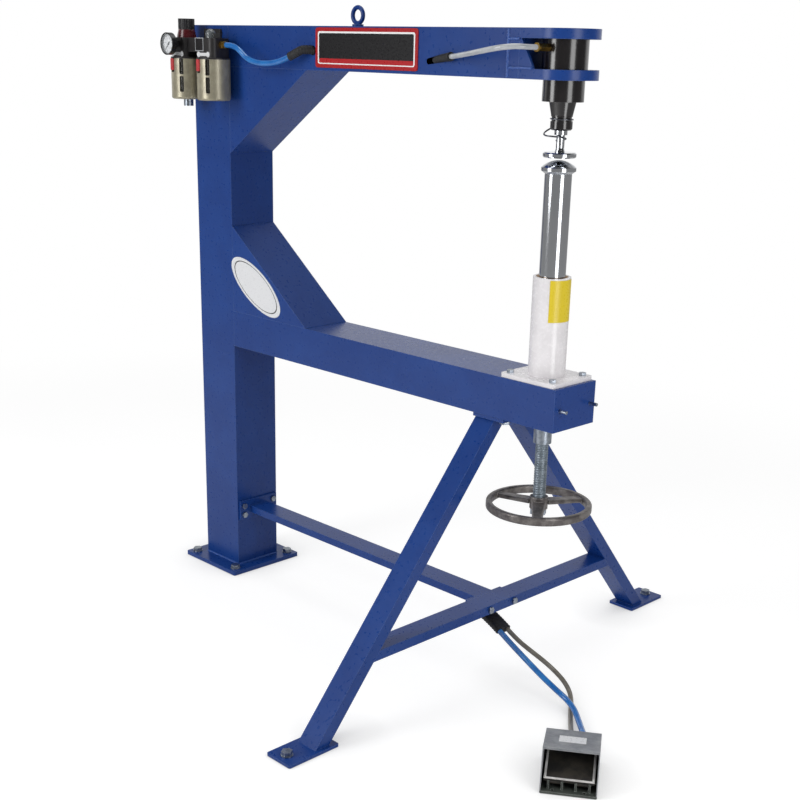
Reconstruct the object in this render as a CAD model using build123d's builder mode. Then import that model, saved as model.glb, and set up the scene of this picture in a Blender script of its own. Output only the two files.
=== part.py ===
from build123d import *
import math
import os

# Pneumatic planishing hammer: a C-shaped box frame that holds an air hammer over a
# screw-lifted anvil post, with a splayed front stand, an air unit and a foot pedal.
# Millimetres. +X runs from the column to the hammer, +Z up, and the air unit is on the
# -Y side. The origin is the middle of the column's foot, on the floor.

os.makedirs("parts", exist_ok=True)

# Frame sizes
frame_height = 1310.0
frame_width = 125.0
column_depth = 130.0
tube_wall = 5.0
throat_depth = 915.0
upper_arm_depth = 88.0
upper_arm_end = 923.0
throat_height = 557.0
lower_arm_depth = 85.0
lower_arm_end = 1054.0
end_plate_thickness = 8.0
upper_gusset_reach = 271.0
upper_gusset_drop = 190.0
lower_gusset_reach = 264.0
lower_gusset_rise = 202.0

# Fasteners
bolt_clearance = 0.5
anchor_thread = 12.0
anchor_head = 19.0
anchor_head_height = 7.5
anchor_flange = 24.0
anchor_flange_height = 2.5
small_bolt = 8.0
small_bolt_head = 13.0
small_bolt_head_height = 5.5

# Column foot
foot_length = 203.0
foot_width = 209.0
foot_thickness = 10.0
foot_corner = 4.0
anchor_pitch_x = 160.0
anchor_pitch_y = 170.0

# Front stand
leg_middle = 873.0
leg_width = 50.0
leg_thickness = 27.0
leg_wall = 2.5
leg_foot_spread = 531.5
leg_top_spread = 53.0
saddle_length = 80.0
saddle_width = 120.0
saddle_thickness = 8.0
saddle_overhang = 2.0
saddle_bolt_spread = 76.0
saddle_bolt_inset = 14.0
stand_foot_length = 124.0
stand_foot_width = 68.0
stand_foot_thickness = 6.0
stand_foot_toe = 66.0
stand_bolt_inset = 22.0
stretcher_height = 20.0
stretcher_top = 163.0
stretcher_bolt_spread = 76.0
brace_width = 54.0
brace_height = 17.0
brace_wall = 2.0
brace_plate_thickness = 6.0
brace_plate_width = 116.0
brace_plate_height = 50.0
brace_bolt_spread = 92.0
brace_bolt_rise = 23.0
brace_foot_width = 110.0
stud_spread = 94.0
stud_drop = 43.0
stud_diameter = 7.0
stud_length = 18.0

# Hammer bracket and lifting eye
bracket_thickness = 18.0
bracket_nose = 62.5
bracket_web_thickness = 6.0
bracket_web_top = 4.0
bracket_web_bottom = 35.0
eye_position = 426.0
eye_ring = 31.0
eye_wire = 9.0
eye_collar = 24.0
eye_collar_height = 5.0
eye_sink = 2.5
eye_thread = 10.0
eye_thread_length = 14.0

# Hammer
barrel_diameter = 84.0
barrel_nose_diameter = 77.0
barrel_drop = 38.0
barrel_bore = 34.0
barrel_fit = 0.1
head_diameter = 70.0
head_spigot_height = 8.0
head_proud = 4.0
head_socket = 14.0
head_socket_depth = 6.0
piston_length = 45.0
piston_clearance = 0.05
nose_top_diameter = 50.0
nose_waist = 40.0
nose_taper_height = 24.0
nose_waist_run = 2.0
nose_groove = 37.2
nose_groove_height = 8.0
nose_collar = 41.0
nose_collar_height = 13.5
nose_chamfer = 2.5
nose_spigot_height = 5.0
nose_counterbore_depth = 11.5
inlet_angle = -97.0
inlet_drop = 33.0
inlet_thread = 10.0
inlet_thread_length = 10.0
inlet_reach = 31.0
inlet_body = 13.0
inlet_ring = 16.0
inlet_ring_length = 5.0
inlet_neck = 1.0
air_port = 6.0

# Upper die
die_disc = 62.0
die_disc_thickness = 9.5
die_reach = 49.0
die_edge = 2.0
die_neck = 15.4
die_root = 20.0
die_root_height = 7.5
die_collar = 24.0
die_collar_height = 8.0
die_collar_gap = 0.5
die_shank = 12.7
die_shank_length = 46.0
shank_clearance = 0.05

# Retainer spring
spring_wire = 3.0
spring_turns = 1.9
spring_angle = 218.0
spring_seat_gap = 0.2
spring_loop_radius = 31.0
spring_neck_gap = 0.6
spring_seat_drop = 2.0
spring_loop_drop = 28.0
spring_tail_drop = 9.0

# Anvil post
die_gap = 4.5
anvil_diameter = 65.0
anvil_crown = 13.0
anvil_edge = 6.5
anvil_bevel = 5.0
anvil_shank = 25.0
anvil_shank_length = 39.0
anvil_shank_clearance = 0.05
post_diameter = 50.8
post_length = 308.0
post_socket_spare = 1.0
guide_tube_diameter = 73.0
guide_tube_bore = 62.0
guide_tube_height = 200.0
guide_clearance = 0.05
guide_flange_length = 134.0
guide_flange_width = 120.0
guide_flange_thickness = 9.0
guide_flange_corner = 5.0
flange_bolt_inset = 14.0
bush_length = 62.0
arm_post_clearance = 2.6

# Lifting screw and handwheel
screw_diameter = 26.0
screw_clearance = 0.05
screw_length = 321.0
pivot_diameter = 18.0
pivot_length = 18.0
pivot_clearance = 0.05
nut_diameter = 36.0
nut_length = 46.0
nut_spigot = 30.0
nut_spigot_height = 10.0
bearing_diameter = 42.0
bearing_thickness = 6.0
hub_height = 25.0
hub_diameter = 37.0
hub_bore = 20.0
wheel_diameter = 214.0
wheel_rim_width = 12.0
wheel_rim_height = 17.0
wheel_rim_corner = 4.0
wheel_rim_drop = 6.0
wheel_spokes = 3
wheel_spoke_angle = -52.0
wheel_spoke_root = 28.0
wheel_spoke_tip = 19.0
wheel_spoke_height = 9.0
wheel_spoke_corner = 3.0
wheel_spoke_root_depth = 2.0
wheel_nut = 30.0
wheel_nut_height = 12.0
stub_diameter = 16.0
stub_proud = 3.0

# Air preparation unit
air_unit_out = 104.0
regulator_x = -34.0
lubricator_x = 64.0
air_body_drop = 73.0
air_body_height = 45.0
air_body_depth = 54.0
regulator_body_width = 56.0
lubricator_body_width = 62.0
air_body_corner = 14.0
air_body_skirt = 3.5
bonnet_bottom = 45.0
bonnet_top = 37.0
bonnet_height = 17.0
bonnet_spigot = 20.0
bonnet_spigot_height = 12.0
knob_diameter = 37.0
knob_height = 23.0
knob_ribs = 24
knob_rib_depth = 1.2
knob_gap = 0.3
port_rise = 31.0
port_bore = 20.95
port_depth = 14.0
gauge_diameter = 48.0
gauge_depth = 12.0
gauge_standoff = 17.0
gauge_rim = 2.5
gauge_recess = 6.5
gauge_stem = 14.0
gauge_lens_thickness = 1.2
gauge_lens_inset = 0.5
needle_length = 17.0
needle_tail = 6.0
needle_width = 2.0
needle_thickness = 0.6
needle_hub = 5.0
needle_pin = 1.6
needle_pin_length = 3.0
needle_gap = 1.2
needle_angle = 225.0
guard_diameter = 75.0
guard_height = 88.0
guard_wall = 2.0
guard_base_hole = 26.0
guard_corner = 5.0
window_width = 10.0
window_height = 34.0
window_pitch = 38.0
window_bottom = 16.0
window_corner = 2.0
window_angle = -58.0
bowl_diameter = 66.0
bowl_wall = 2.5
bowl_gap = 3.0
latch_angle = -100.0
latch_width = 13.0
latch_height = 25.0
latch_depth = 5.0
latch_proud = 2.0
latch_corner = 2.0
latch_travel = 4.0
latch_clearance = 0.3
drain_diameter = 22.0
drain_height = 15.0
drain_gap = 0.4
drain_stem = 10.0
stem_clearance = 0.05
dome_offset = -8.0
dome_diameter = 22.0
dome_skirt = 8.0
dome_stem = 10.0
dome_stem_length = 8.0
filler_offset = 18.0
filler_diameter = 16.0
filler_height = 10.0
outlet_diameter = 14.0
outlet_length = 17.0
outlet_nut = 15.0
outlet_nut_length = 8.0
spacer_height = 30.0
spacer_depth = 34.0
bracket_arm_width = 20.0
wall_plate_width = 60.0
wall_plate_height = 70.0
wall_plate_thickness = 6.0

# Hoses
air_hose_bore = 12.0
hammer_hose_bore = 10.0
pedal_supply_bore = 12.0
pedal_return_bore = 10.0
arm_sleeve = 19.0
arm_sleeve_end_run = 20.0
arm_grommet = 17.0
arm_grommet_end_run = 24.0
stand_sleeve_width = 38.0
stand_sleeve_height = 18.0
stand_sleeve_corner = 7.0
stand_sleeve_start = 826.0
stand_sleeve_bend = 862.0
stand_sleeve_end = (922.0, -20.0, 109.5)
pedal_hose_pitch = 21.0

# Foot pedal
pedal_x = 1278.0
pedal_y = -232.0
pedal_turn = 35.0
pedal_width = 104.0
pedal_length = 135.0
pedal_sheet = 2.0
pedal_base_thickness = 5.0
pedal_lip_height = 80.0
pedal_back_height = 60.0
pedal_lip_setback = 28.0
pedal_lip_fold = 4.0
pedal_screw_hole = 6.0
pedal_base_corner = 3.0
pedal_screw_pitch = 58.0
pedal_screw_inset = 8.0
treadle_width = 92.0
treadle_thickness = 6.0
treadle_front = 6.0
treadle_length = 70.0
treadle_pin_height = 19.0
treadle_pin_setback = 19.0
treadle_slope = 20.0
treadle_pin_diameter = 6.0
treadle_knuckle = 13.0
treadle_knuckle_length = 20.0
treadle_knuckle_pitch = 50.0
pin_clearance = 0.05
ear_thickness = 4.0
ear_gap = 0.5
ear_width = 16.0
valve_width = 64.0
valve_height = 38.0
valve_front = 24.0
valve_nose_width = 24.0
valve_nose_reach = 8.0
valve_nose_height = 22.0
valve_port = 18.0
valve_port_clearance = 0.3
valve_port_proud = 2.5
plunger_diameter = 8.0
plunger_length = 19.0
plunger_gap = 0.4
plunger_clearance = 0.05
hose_entry_height = 25.0
supply_entry = 23.0
return_entry = -4.0
hammer_hose_lead = 21.0
supply_lead = 40.0
return_lead = 32.0
pedal_hose_lead = 28.0
treadle_spring_wire = 1.6
treadle_spring_radius = 8.0
treadle_spring_turns = 4.0
treadle_spring_setback = 30.0
treadle_spring_gap = 0.3

# Blank plates
badge_length = 301.0
badge_height = 79.0
badge_thickness = 2.0
badge_middle_x = 516.5
badge_drop = 42.5
badge_corner = 6.0
oval_length = 202.0
oval_height = 84.0
oval_x = 151.0
oval_rise = 69.5
oval_tilt = 149.5
label_thickness = 0.6
label_gap = 0.1
patch_height = 80.0
patch_drop = 83.0
patch_arc = 86.0
patch_angle = -13.0
maker_plate_width = 30.0
maker_plate_height = 28.0
maker_plate_x = 50.0
strip_length = 46.0
strip_end = 12.0
strip_waist = 7.0
strip_rise = 10.0
hood_label_length = 50.0
hood_label_width = 34.0

# Places worked out from the sizes
half_width = frame_width / 2
column_front = column_depth / 2
post_x = column_front + throat_depth
upper_arm_bottom = frame_height - upper_arm_depth
lower_arm_top = upper_arm_bottom - throat_height
lower_arm_bottom = lower_arm_top - lower_arm_depth
stud_height = lower_arm_top - stud_drop
saddle_bottom = lower_arm_bottom - saddle_thickness
leg_back = leg_middle - leg_width / 2
leg_front = leg_middle + leg_width / 2
leg_slope = (leg_foot_spread - leg_top_spread) / saddle_bottom
leg_slant = math.sqrt(1 + leg_slope**2)
stretcher_bottom = stretcher_top - stretcher_height
brace_middle = stretcher_top - brace_height / 2
brace_back = column_front + brace_plate_thickness
brace_front = leg_back - brace_plate_thickness
bracket_top_under = frame_height - bracket_thickness
bracket_low_top = upper_arm_bottom + bracket_thickness
barrel_bottom = upper_arm_bottom - barrel_drop
nose_waist_height = barrel_bottom - nose_taper_height
nose_groove_bottom = nose_waist_height - nose_waist_run - nose_groove_height
nose_bottom = nose_groove_bottom - nose_collar_height - nose_chamfer
nose_ledge = nose_bottom + nose_counterbore_depth
die_collar_bottom = nose_bottom - die_collar_gap - die_collar_height
die_face_height = nose_bottom - die_reach
crown_height = die_face_height - die_gap
anvil_shoulder = crown_height - anvil_crown
anvil_under = anvil_shoulder - anvil_edge
post_top = anvil_under - anvil_bevel
post_bottom = post_top - post_length
screw_top = post_bottom - bearing_thickness
screw_bottom = screw_top - screw_length
flange_top = lower_arm_top + guide_flange_thickness
guide_tube_top = lower_arm_top + guide_tube_height
patch_bottom = guide_tube_top - patch_drop
inlet_height = frame_height - inlet_drop
badge_middle_z = frame_height - badge_drop
oval_z = lower_arm_top + oval_rise
air_body_bottom = frame_height - air_body_drop
air_body_top = air_body_bottom + air_body_height
port_height = air_body_bottom + port_rise
strip_height = air_body_bottom + strip_rise
guard_bottom = air_body_bottom - guard_height
regulator_face = air_unit_out + air_body_depth / 2
gauge_back = regulator_face + gauge_standoff
gauge_front = gauge_back + gauge_depth
near_side = Plane.XZ.offset(half_width)
turning_plane = Plane(origin=(post_x, 0, 0), x_dir=(1, 0, 0), z_dir=(0, -1, 0))
hammer_axis = Axis((post_x, 0, 0), (0, 0, 1))


def save(name, piece):
    """Label a piece and write it as its own file."""
    piece.part.label = name
    export_step(piece.part, f"parts/{name}.step")


def smooth(low, high, value):
    """Nought below low, one above high, and an even S between them."""
    share = min(max((value - low) / (high - low), 0.0), 1.0)
    return share * share * (3 - 2 * share)


def leg_outer(height):
    """How far out a leg's outer face stands at a height."""
    return leg_foot_spread - leg_slope * height


def corner_radii(points):
    """The arc at each inner point that its two runs leave room for."""
    radii = []
    for before, here, after in zip(points, points[1:], points[2:]):
        run_in = Vector(*here) - Vector(*before)
        run_out = Vector(*after) - Vector(*here)
        turn = math.radians(run_in.get_angle(run_out))
        radii.append(0.45 * min(run_in.length, run_out.length) / math.tan(turn / 2))
    return radii


def hose(name, points, diameter):
    """A round hose along straight runs joined by tangent arcs."""
    radii = corner_radii(points)
    with BuildPart() as tube:
        with BuildLine() as route:
            FilletPolyline(*points, radius=radii)
        with BuildSketch(Plane(origin=route.wire() @ 0, z_dir=route.wire() % 0)):
            Circle(diameter / 2)
        sweep(path=route.wire())
    length = route.wire().length
    ideal = math.pi * diameter**2 / 4 * length
    print(f"{name}: length {length:.0f}, radii {[round(r) for r in radii]}")
    print(f"{name}: volume over section times length {tube.part.volume / ideal:.4f}")
    return tube


def below_top(x, y, drop):
    """A place that lies so far below the frame's top."""
    return (x, y, frame_height - drop)


def step_back(start, towards, run):
    """The point that lies so far behind a line's start."""
    way = (Vector(*towards) - Vector(*start)).normalized()
    return tuple(Vector(*start) - way * run)


def biarc(start, start_way, end, end_way):
    """Two arcs that join two points along the given directions."""
    span = end - start
    ways = start_way + end_way
    a = ways.dot(ways) - 4
    b = span.dot(ways)
    reach = (b - math.sqrt(b * b - a * span.dot(span))) / a
    near = start + start_way * reach
    far = end - end_way * reach
    joint = (near + far) / 2
    TangentArc(start, joint, tangent=start_way)
    TangentArc(joint, end, tangent=(far - near).normalized())


def wound(name, curve, turns, wire):
    """A round wire along a curve of so many turns, its two ends straight."""
    quarters = math.ceil(turns * 4)
    step = 1e-4

    def way(t):
        low = max(0.0, t - step)
        high = min(1.0, t + step)
        return (curve(high) - curve(low)).normalized()

    with BuildPart() as coil:
        with BuildLine() as route:
            Line(curve(0) - way(0) * wire, curve(0))
            for i in range(quarters):
                here, there = i / quarters, (i + 1) / quarters
                biarc(curve(here), way(here), curve(there), way(there))
            Line(curve(1), curve(1) + way(1) * wire)
        with BuildSketch(Plane(origin=curve(0) - way(0) * wire, z_dir=way(0))):
            Circle(wire / 2)
        sweep(path=route.wire())
    per_turn = 60
    steps = round(turns * per_turn)
    spots = [curve(i / steps) for i in range(steps + 1)]
    apart = per_turn // 3
    gap = min(
        (spots[i] - spots[j]).length - wire
        for i in range(steps + 1)
        for j in range(i + apart, steps + 1)
    )
    print(f"{name}: least gap to itself {gap:.2f}")
    return coil


# Column: a square tube with a welded cap
brace_bolts = [
    (y, brace_middle + z)
    for y in (-brace_bolt_spread / 2, brace_bolt_spread / 2)
    for z in (-brace_bolt_rise / 2, brace_bolt_rise / 2)
]
with BuildPart() as column:
    with BuildSketch(Plane.XY.offset(foot_thickness)):
        Rectangle(column_depth, frame_width)
    extrude(amount=frame_height - foot_thickness)
    with BuildSketch(Plane.XY.offset(foot_thickness)):
        Rectangle(column_depth - 2 * tube_wall, frame_width - 2 * tube_wall)
    extrude(amount=frame_height - foot_thickness - tube_wall, mode=Mode.SUBTRACT)
    with BuildSketch(Plane.YZ.offset(column_front)):
        with Locations(*brace_bolts):
            Circle(small_bolt / 2 + bolt_clearance)
    extrude(amount=-tube_wall, mode=Mode.SUBTRACT)
save("column", column)

with BuildPart() as base_plate:
    with BuildSketch():
        RectangleRounded(foot_length, foot_width, foot_corner)
        with GridLocations(anchor_pitch_x, anchor_pitch_y, 2, 2):
            Circle(anchor_thread / 2 + bolt_clearance, mode=Mode.SUBTRACT)
    extrude(amount=foot_thickness)
save("base_plate", base_plate)


# Arms: box tubes that butt on the column, each closed by an end plate
def box_arm(top, depth, end):
    """A square tube along X from the column's front face."""
    with BuildPart() as arm:
        with BuildSketch(Plane.YZ.offset(column_front)):
            with Locations((0, top - depth / 2)):
                Rectangle(frame_width, depth)
        extrude(amount=end - column_front)
        with BuildSketch(Plane.YZ.offset(column_front)):
            with Locations((0, top - depth / 2)):
                Rectangle(frame_width - 2 * tube_wall, depth - 2 * tube_wall)
        extrude(amount=end - column_front - end_plate_thickness, mode=Mode.SUBTRACT)
    return arm.part


with BuildPart() as upper_arm:
    add(box_arm(frame_height, upper_arm_depth, upper_arm_end))
    with BuildSketch(Plane.XY.offset(frame_height)):
        with Locations((eye_position, 0)):
            Circle(eye_thread / 2 + bolt_clearance)
    extrude(amount=-tube_wall, mode=Mode.SUBTRACT)
save("upper_arm", upper_arm)

flange_bolts = [
    (post_x + x * (guide_flange_length / 2 - flange_bolt_inset),
     y * (guide_flange_width / 2 - flange_bolt_inset))
    for x in (-1, 1)
    for y in (-1, 1)
]
saddle_bolts = [
    (leg_back - 2 + saddle_length - saddle_bolt_inset, y * saddle_bolt_spread / 2)
    for y in (-1, 1)
]
with BuildPart() as lower_arm:
    add(box_arm(lower_arm_top, lower_arm_depth, lower_arm_end))
    with BuildSketch(Plane.XY.offset(lower_arm_top)):
        with Locations((post_x, 0)):
            Circle(post_diameter / 2 + arm_post_clearance)
        with Locations(*flange_bolts):
            Circle(small_bolt / 2 + bolt_clearance)
    extrude(amount=-tube_wall, mode=Mode.SUBTRACT)
    with BuildSketch(Plane.XY.offset(lower_arm_bottom)):
        with Locations((post_x, 0)):
            Circle(nut_spigot / 2)
        with Locations(*saddle_bolts):
            Circle(anchor_thread / 2 + bolt_clearance)
    extrude(amount=tube_wall, mode=Mode.SUBTRACT)
    with BuildSketch(Plane.YZ.offset(lower_arm_end)):
        with Locations((-stud_spread / 2, stud_height), (stud_spread / 2, stud_height)):
            Circle(stud_diameter / 2)
    extrude(amount=-end_plate_thickness, mode=Mode.SUBTRACT)
save("lower_arm", lower_arm)


# Gussets: each is two cheeks and a sloping web, open to the column and the arm
def gusset(reach, rise, level):
    """A three-cornered shell between the column's front and an arm at this level."""
    slant = math.hypot(reach, rise)
    inner_reach = reach - tube_wall * slant / abs(rise)
    inner_rise = rise - math.copysign(tube_wall * slant / reach, rise)
    with BuildPart() as corner:
        for size_x, size_z, half, mode in (
            (reach, rise, half_width, Mode.ADD),
            (inner_reach, inner_rise, half_width - tube_wall, Mode.SUBTRACT),
        ):
            with BuildSketch(Plane.XZ):
                Polygon(
                    (column_front, level),
                    (column_front + size_x, level),
                    (column_front, level + size_z),
                    align=None,
                )
            extrude(amount=half, both=True, mode=mode)
    return corner.part


with BuildPart() as gussets:
    add(gusset(upper_gusset_reach, -upper_gusset_drop, upper_arm_bottom))
    add(gusset(lower_gusset_reach, lower_gusset_rise, lower_arm_top))
save("gussets", gussets)

# Hammer bracket: two round-nosed plates round the barrel, with a slanting web on each side
with BuildPart() as bracket_plates:
    for level, bore in (
        (upper_arm_bottom, barrel_nose_diameter),
        (bracket_top_under, head_diameter),
    ):
        with BuildSketch(Plane.XY.offset(level)):
            with BuildLine():
                ThreePointArc(
                    (post_x, -bracket_nose), (post_x + bracket_nose, 0), (post_x, bracket_nose)
                )
                Polyline(
                    (post_x, bracket_nose),
                    (upper_arm_end, bracket_nose),
                    (upper_arm_end, -bracket_nose),
                    (post_x, -bracket_nose),
                )
            make_face()
            with Locations((post_x, 0)):
                Circle(bore / 2 + barrel_fit, mode=Mode.SUBTRACT)
        extrude(amount=bracket_thickness)
    for side in (-1, 1):
        with BuildSketch(Plane.XZ.offset(side * half_width)):
            Polygon(
                (upper_arm_end, bracket_low_top),
                (upper_arm_end + bracket_web_bottom, bracket_low_top),
                (upper_arm_end + bracket_web_top, bracket_top_under),
                (upper_arm_end, bracket_top_under),
                align=None,
            )
        extrude(amount=-side * bracket_web_thickness)
save("bracket_plates", bracket_plates)

eye_middle = frame_height + eye_collar_height + (eye_ring + eye_wire) / 2 - eye_sink
with BuildPart() as lifting_eye:
    with BuildSketch(Plane.XY.offset(frame_height)):
        with Locations((eye_position, 0)):
            Circle(eye_collar / 2)
    extrude(amount=eye_collar_height)
    with BuildSketch(Plane.XY.offset(frame_height)):
        with Locations((eye_position, 0)):
            Circle(eye_thread / 2)
    extrude(amount=-eye_thread_length)
    with Locations(Location((eye_position, 0, eye_middle), (90, 0, 0))):
        Torus(eye_ring / 2, eye_wire / 2)
save("lifting_eye", lifting_eye)

# Anchor bolts with pressed-on washers, through the column's foot and the stand's feet
stand_bolt_y = leg_foot_spread + stand_foot_toe - stand_bolt_inset
anchor_places = [
    (x * anchor_pitch_x / 2, y * anchor_pitch_y / 2, foot_thickness)
    for x in (-1, 1)
    for y in (-1, 1)
] + [(leg_middle, y * stand_bolt_y, stand_foot_thickness) for y in (-1, 1)]
with BuildPart() as anchor_bolts:
    for x, y, level in anchor_places:
        with BuildSketch(Plane.XY.offset(level)):
            with Locations((x, y)):
                Circle(anchor_flange / 2)
        extrude(amount=anchor_flange_height)
        with BuildSketch(Plane.XY.offset(level + anchor_flange_height)):
            with Locations((x, y)):
                RegularPolygon(anchor_head / 2, 6, major_radius=False)
        extrude(amount=anchor_head_height)
        with BuildSketch(Plane.XY.offset(level)):
            with Locations((x, y)):
                Circle(anchor_thread / 2)
        extrude(amount=-level)
save("anchor_bolts", anchor_bolts)

# Front stand: a saddle under the arm, two splayed legs and a stretcher between them
with BuildPart() as saddle_plate:
    with BuildSketch(Plane.XY.offset(saddle_bottom)):
        with Locations((leg_back - saddle_overhang + saddle_length / 2, 0)):
            Rectangle(saddle_length, saddle_width)
        with Locations(*saddle_bolts):
            Circle(anchor_thread / 2 + bolt_clearance, mode=Mode.SUBTRACT)
    extrude(amount=saddle_thickness)
save("saddle_plate", saddle_plate)


def leg(side):
    """A sloping box leg welded on its foot plate."""
    inset = leg_thickness * leg_slant
    wall = leg_wall * leg_slant
    toe = leg_foot_spread + stand_foot_toe
    low = stand_foot_thickness

    def slice_between(outer_inset, inner_inset):
        Polygon(
            (side * (leg_outer(low) - outer_inset), low),
            (side * (leg_outer(saddle_bottom) - outer_inset), saddle_bottom),
            (side * (leg_outer(saddle_bottom) - inner_inset), saddle_bottom),
            (side * (leg_outer(low) - inner_inset), low),
            align=None,
        )

    with BuildPart() as limb:
        with BuildSketch(Plane.YZ.offset(leg_back)):
            slice_between(0, inset)
        extrude(amount=leg_width)
        with BuildSketch(Plane.YZ.offset(leg_back + leg_wall)):
            slice_between(wall, inset - wall)
        extrude(amount=leg_width - 2 * leg_wall, mode=Mode.SUBTRACT)
        with BuildSketch():
            with Locations((leg_middle, side * (toe - stand_foot_length / 2))):
                RectangleRounded(stand_foot_width, stand_foot_length, foot_corner)
            with Locations((leg_middle, side * stand_bolt_y)):
                Circle(anchor_thread / 2 + bolt_clearance, mode=Mode.SUBTRACT)
        extrude(amount=stand_foot_thickness)
    return limb


leg_near = leg(-1)
save("leg_near", leg_near)
leg_far = leg(1)
save("leg_far", leg_far)

with BuildPart() as stretcher:
    for margin, mode in ((0, Mode.ADD), (leg_wall, Mode.SUBTRACT)):
        low = stretcher_bottom + margin
        high = stretcher_top - margin
        low_reach = leg_outer(low) - leg_thickness * leg_slant
        high_reach = leg_outer(high) - leg_thickness * leg_slant
        with BuildSketch(Plane.YZ.offset(leg_back + margin)):
            Polygon(
                (-low_reach, low),
                (low_reach, low),
                (high_reach, high),
                (-high_reach, high),
                align=None,
            )
        extrude(amount=leg_width - 2 * margin, mode=mode)
    with BuildSketch(Plane.YZ.offset(leg_back)):
        with Locations(
            (-stretcher_bolt_spread / 2, stretcher_top - stretcher_height / 2),
            (stretcher_bolt_spread / 2, stretcher_top - stretcher_height / 2),
        ):
            Circle(small_bolt / 2 + bolt_clearance)
    extrude(amount=leg_width, mode=Mode.SUBTRACT)
save("stretcher", stretcher)

# Brace: a square tube from the column to the stretcher, with a plate at each end
with BuildPart() as brace:
    with BuildSketch(Plane.YZ.offset(brace_back)):
        with Locations((0, brace_middle)):
            Rectangle(brace_width, brace_height)
            Rectangle(
                brace_width - 2 * brace_wall, brace_height - 2 * brace_wall, mode=Mode.SUBTRACT
            )
    extrude(amount=brace_front - brace_back)
    with BuildSketch(Plane.YZ.offset(column_front)):
        with Locations((0, brace_middle)):
            Rectangle(brace_plate_width, brace_plate_height)
        with Locations(*brace_bolts):
            Circle(small_bolt / 2 + bolt_clearance, mode=Mode.SUBTRACT)
    extrude(amount=brace_plate_thickness)
    with BuildSketch(Plane.YZ.offset(brace_front)):
        with Locations((0, brace_middle)):
            Rectangle(brace_foot_width, brace_height)
        with Locations(
            (-stretcher_bolt_spread / 2, stretcher_top - stretcher_height / 2),
            (stretcher_bolt_spread / 2, stretcher_top - stretcher_height / 2),
        ):
            Circle(small_bolt / 2 + bolt_clearance, mode=Mode.SUBTRACT)
    extrude(amount=brace_plate_thickness)
save("brace", brace)

# Bolts of the frame: saddle, brace, stretcher and guide flange, and the arm's two studs
bolt_groups = (
    (Plane.YZ.offset(brace_back), brace_bolts, brace_plate_thickness + tube_wall),
    (
        Plane.YZ.offset(leg_front),
        [
            (-stretcher_bolt_spread / 2, stretcher_top - stretcher_height / 2),
            (stretcher_bolt_spread / 2, stretcher_top - stretcher_height / 2),
        ],
        leg_width + brace_plate_thickness,
    ),
    (Plane.XY.offset(flange_top), flange_bolts, guide_flange_thickness + tube_wall),
)
with BuildPart() as frame_bolts:
    for seat, places, shank in bolt_groups:
        with BuildSketch(seat):
            with Locations(*places):
                RegularPolygon(small_bolt_head / 2, 6, major_radius=False)
        extrude(amount=small_bolt_head_height)
        with BuildSketch(seat):
            with Locations(*places):
                Circle(small_bolt / 2)
        extrude(amount=-shank)
    with BuildSketch(Plane.XY.offset(saddle_bottom)):
        with Locations(*saddle_bolts):
            RegularPolygon(anchor_head / 2, 6, major_radius=False)
    extrude(amount=-anchor_head_height)
    with BuildSketch(Plane.XY.offset(saddle_bottom)):
        with Locations(*saddle_bolts):
            Circle(anchor_thread / 2)
    extrude(amount=saddle_thickness + tube_wall)
    with BuildSketch(Plane.YZ.offset(lower_arm_end - end_plate_thickness)):
        with Locations((-stud_spread / 2, stud_height), (stud_spread / 2, stud_height)):
            Circle(stud_diameter / 2)
    extrude(amount=end_plate_thickness + stud_length)
save("frame_bolts", frame_bolts)

# Guide tube on its flange, with a long bush that the post slides in
with BuildPart() as guide_tube:
    with BuildSketch(Plane.XY.offset(lower_arm_top)):
        with Locations((post_x, 0)):
            RectangleRounded(guide_flange_length, guide_flange_width, guide_flange_corner)
    extrude(amount=guide_flange_thickness)
    with BuildSketch(Plane.XY.offset(lower_arm_top)):
        with Locations((post_x, 0)):
            Circle(guide_tube_diameter / 2)
    extrude(amount=guide_tube_top - lower_arm_top)
    with BuildSketch(Plane.XY.offset(lower_arm_top)):
        with Locations((post_x, 0)):
            Circle(guide_tube_bore / 2)
    extrude(amount=guide_tube_top - lower_arm_top, mode=Mode.SUBTRACT)
    with BuildSketch(Plane.XY.offset(lower_arm_top)):
        with Locations(*flange_bolts):
            Circle(small_bolt / 2 + bolt_clearance)
    extrude(amount=guide_flange_thickness, mode=Mode.SUBTRACT)
save("guide_tube", guide_tube)

with BuildPart() as guide_bush:
    with BuildSketch(Plane.XY.offset(guide_tube_top - bush_length)):
        with Locations((post_x, 0)):
            Circle(guide_tube_bore / 2)
            Circle(post_diameter / 2 + guide_clearance, mode=Mode.SUBTRACT)
    extrude(amount=bush_length)
save("guide_bush", guide_bush)

# Anvil post with its crowned cap
with BuildPart() as post:
    with BuildSketch(Plane.XY.offset(post_bottom)):
        with Locations((post_x, 0)):
            Circle(post_diameter / 2)
    extrude(amount=post_top - post_bottom)
    with BuildSketch(Plane.XY.offset(post_top)):
        with Locations((post_x, 0)):
            Circle(anvil_shank / 2 + anvil_shank_clearance)
    extrude(amount=-(anvil_shank_length + post_socket_spare), mode=Mode.SUBTRACT)
    with BuildSketch(Plane.XY.offset(post_bottom)):
        with Locations((post_x, 0)):
            Circle(pivot_diameter / 2 + pivot_clearance)
    extrude(amount=pivot_length + post_socket_spare, mode=Mode.SUBTRACT)
save("post", post)

with BuildPart() as anvil_cap:
    with BuildSketch(turning_plane):
        with BuildLine():
            Polyline(
                (0, crown_height),
                (0, post_top - anvil_shank_length),
                (anvil_shank / 2, post_top - anvil_shank_length),
                (anvil_shank / 2, post_top),
                (post_diameter / 2, post_top),
                (anvil_diameter / 2, anvil_under),
                (anvil_diameter / 2, anvil_shoulder),
            )
            TangentArc((0, crown_height), (anvil_diameter / 2, anvil_shoulder), tangent=(1, 0))
        make_face()
    revolve(axis=hammer_axis)
save("anvil_cap", anvil_cap)

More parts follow.
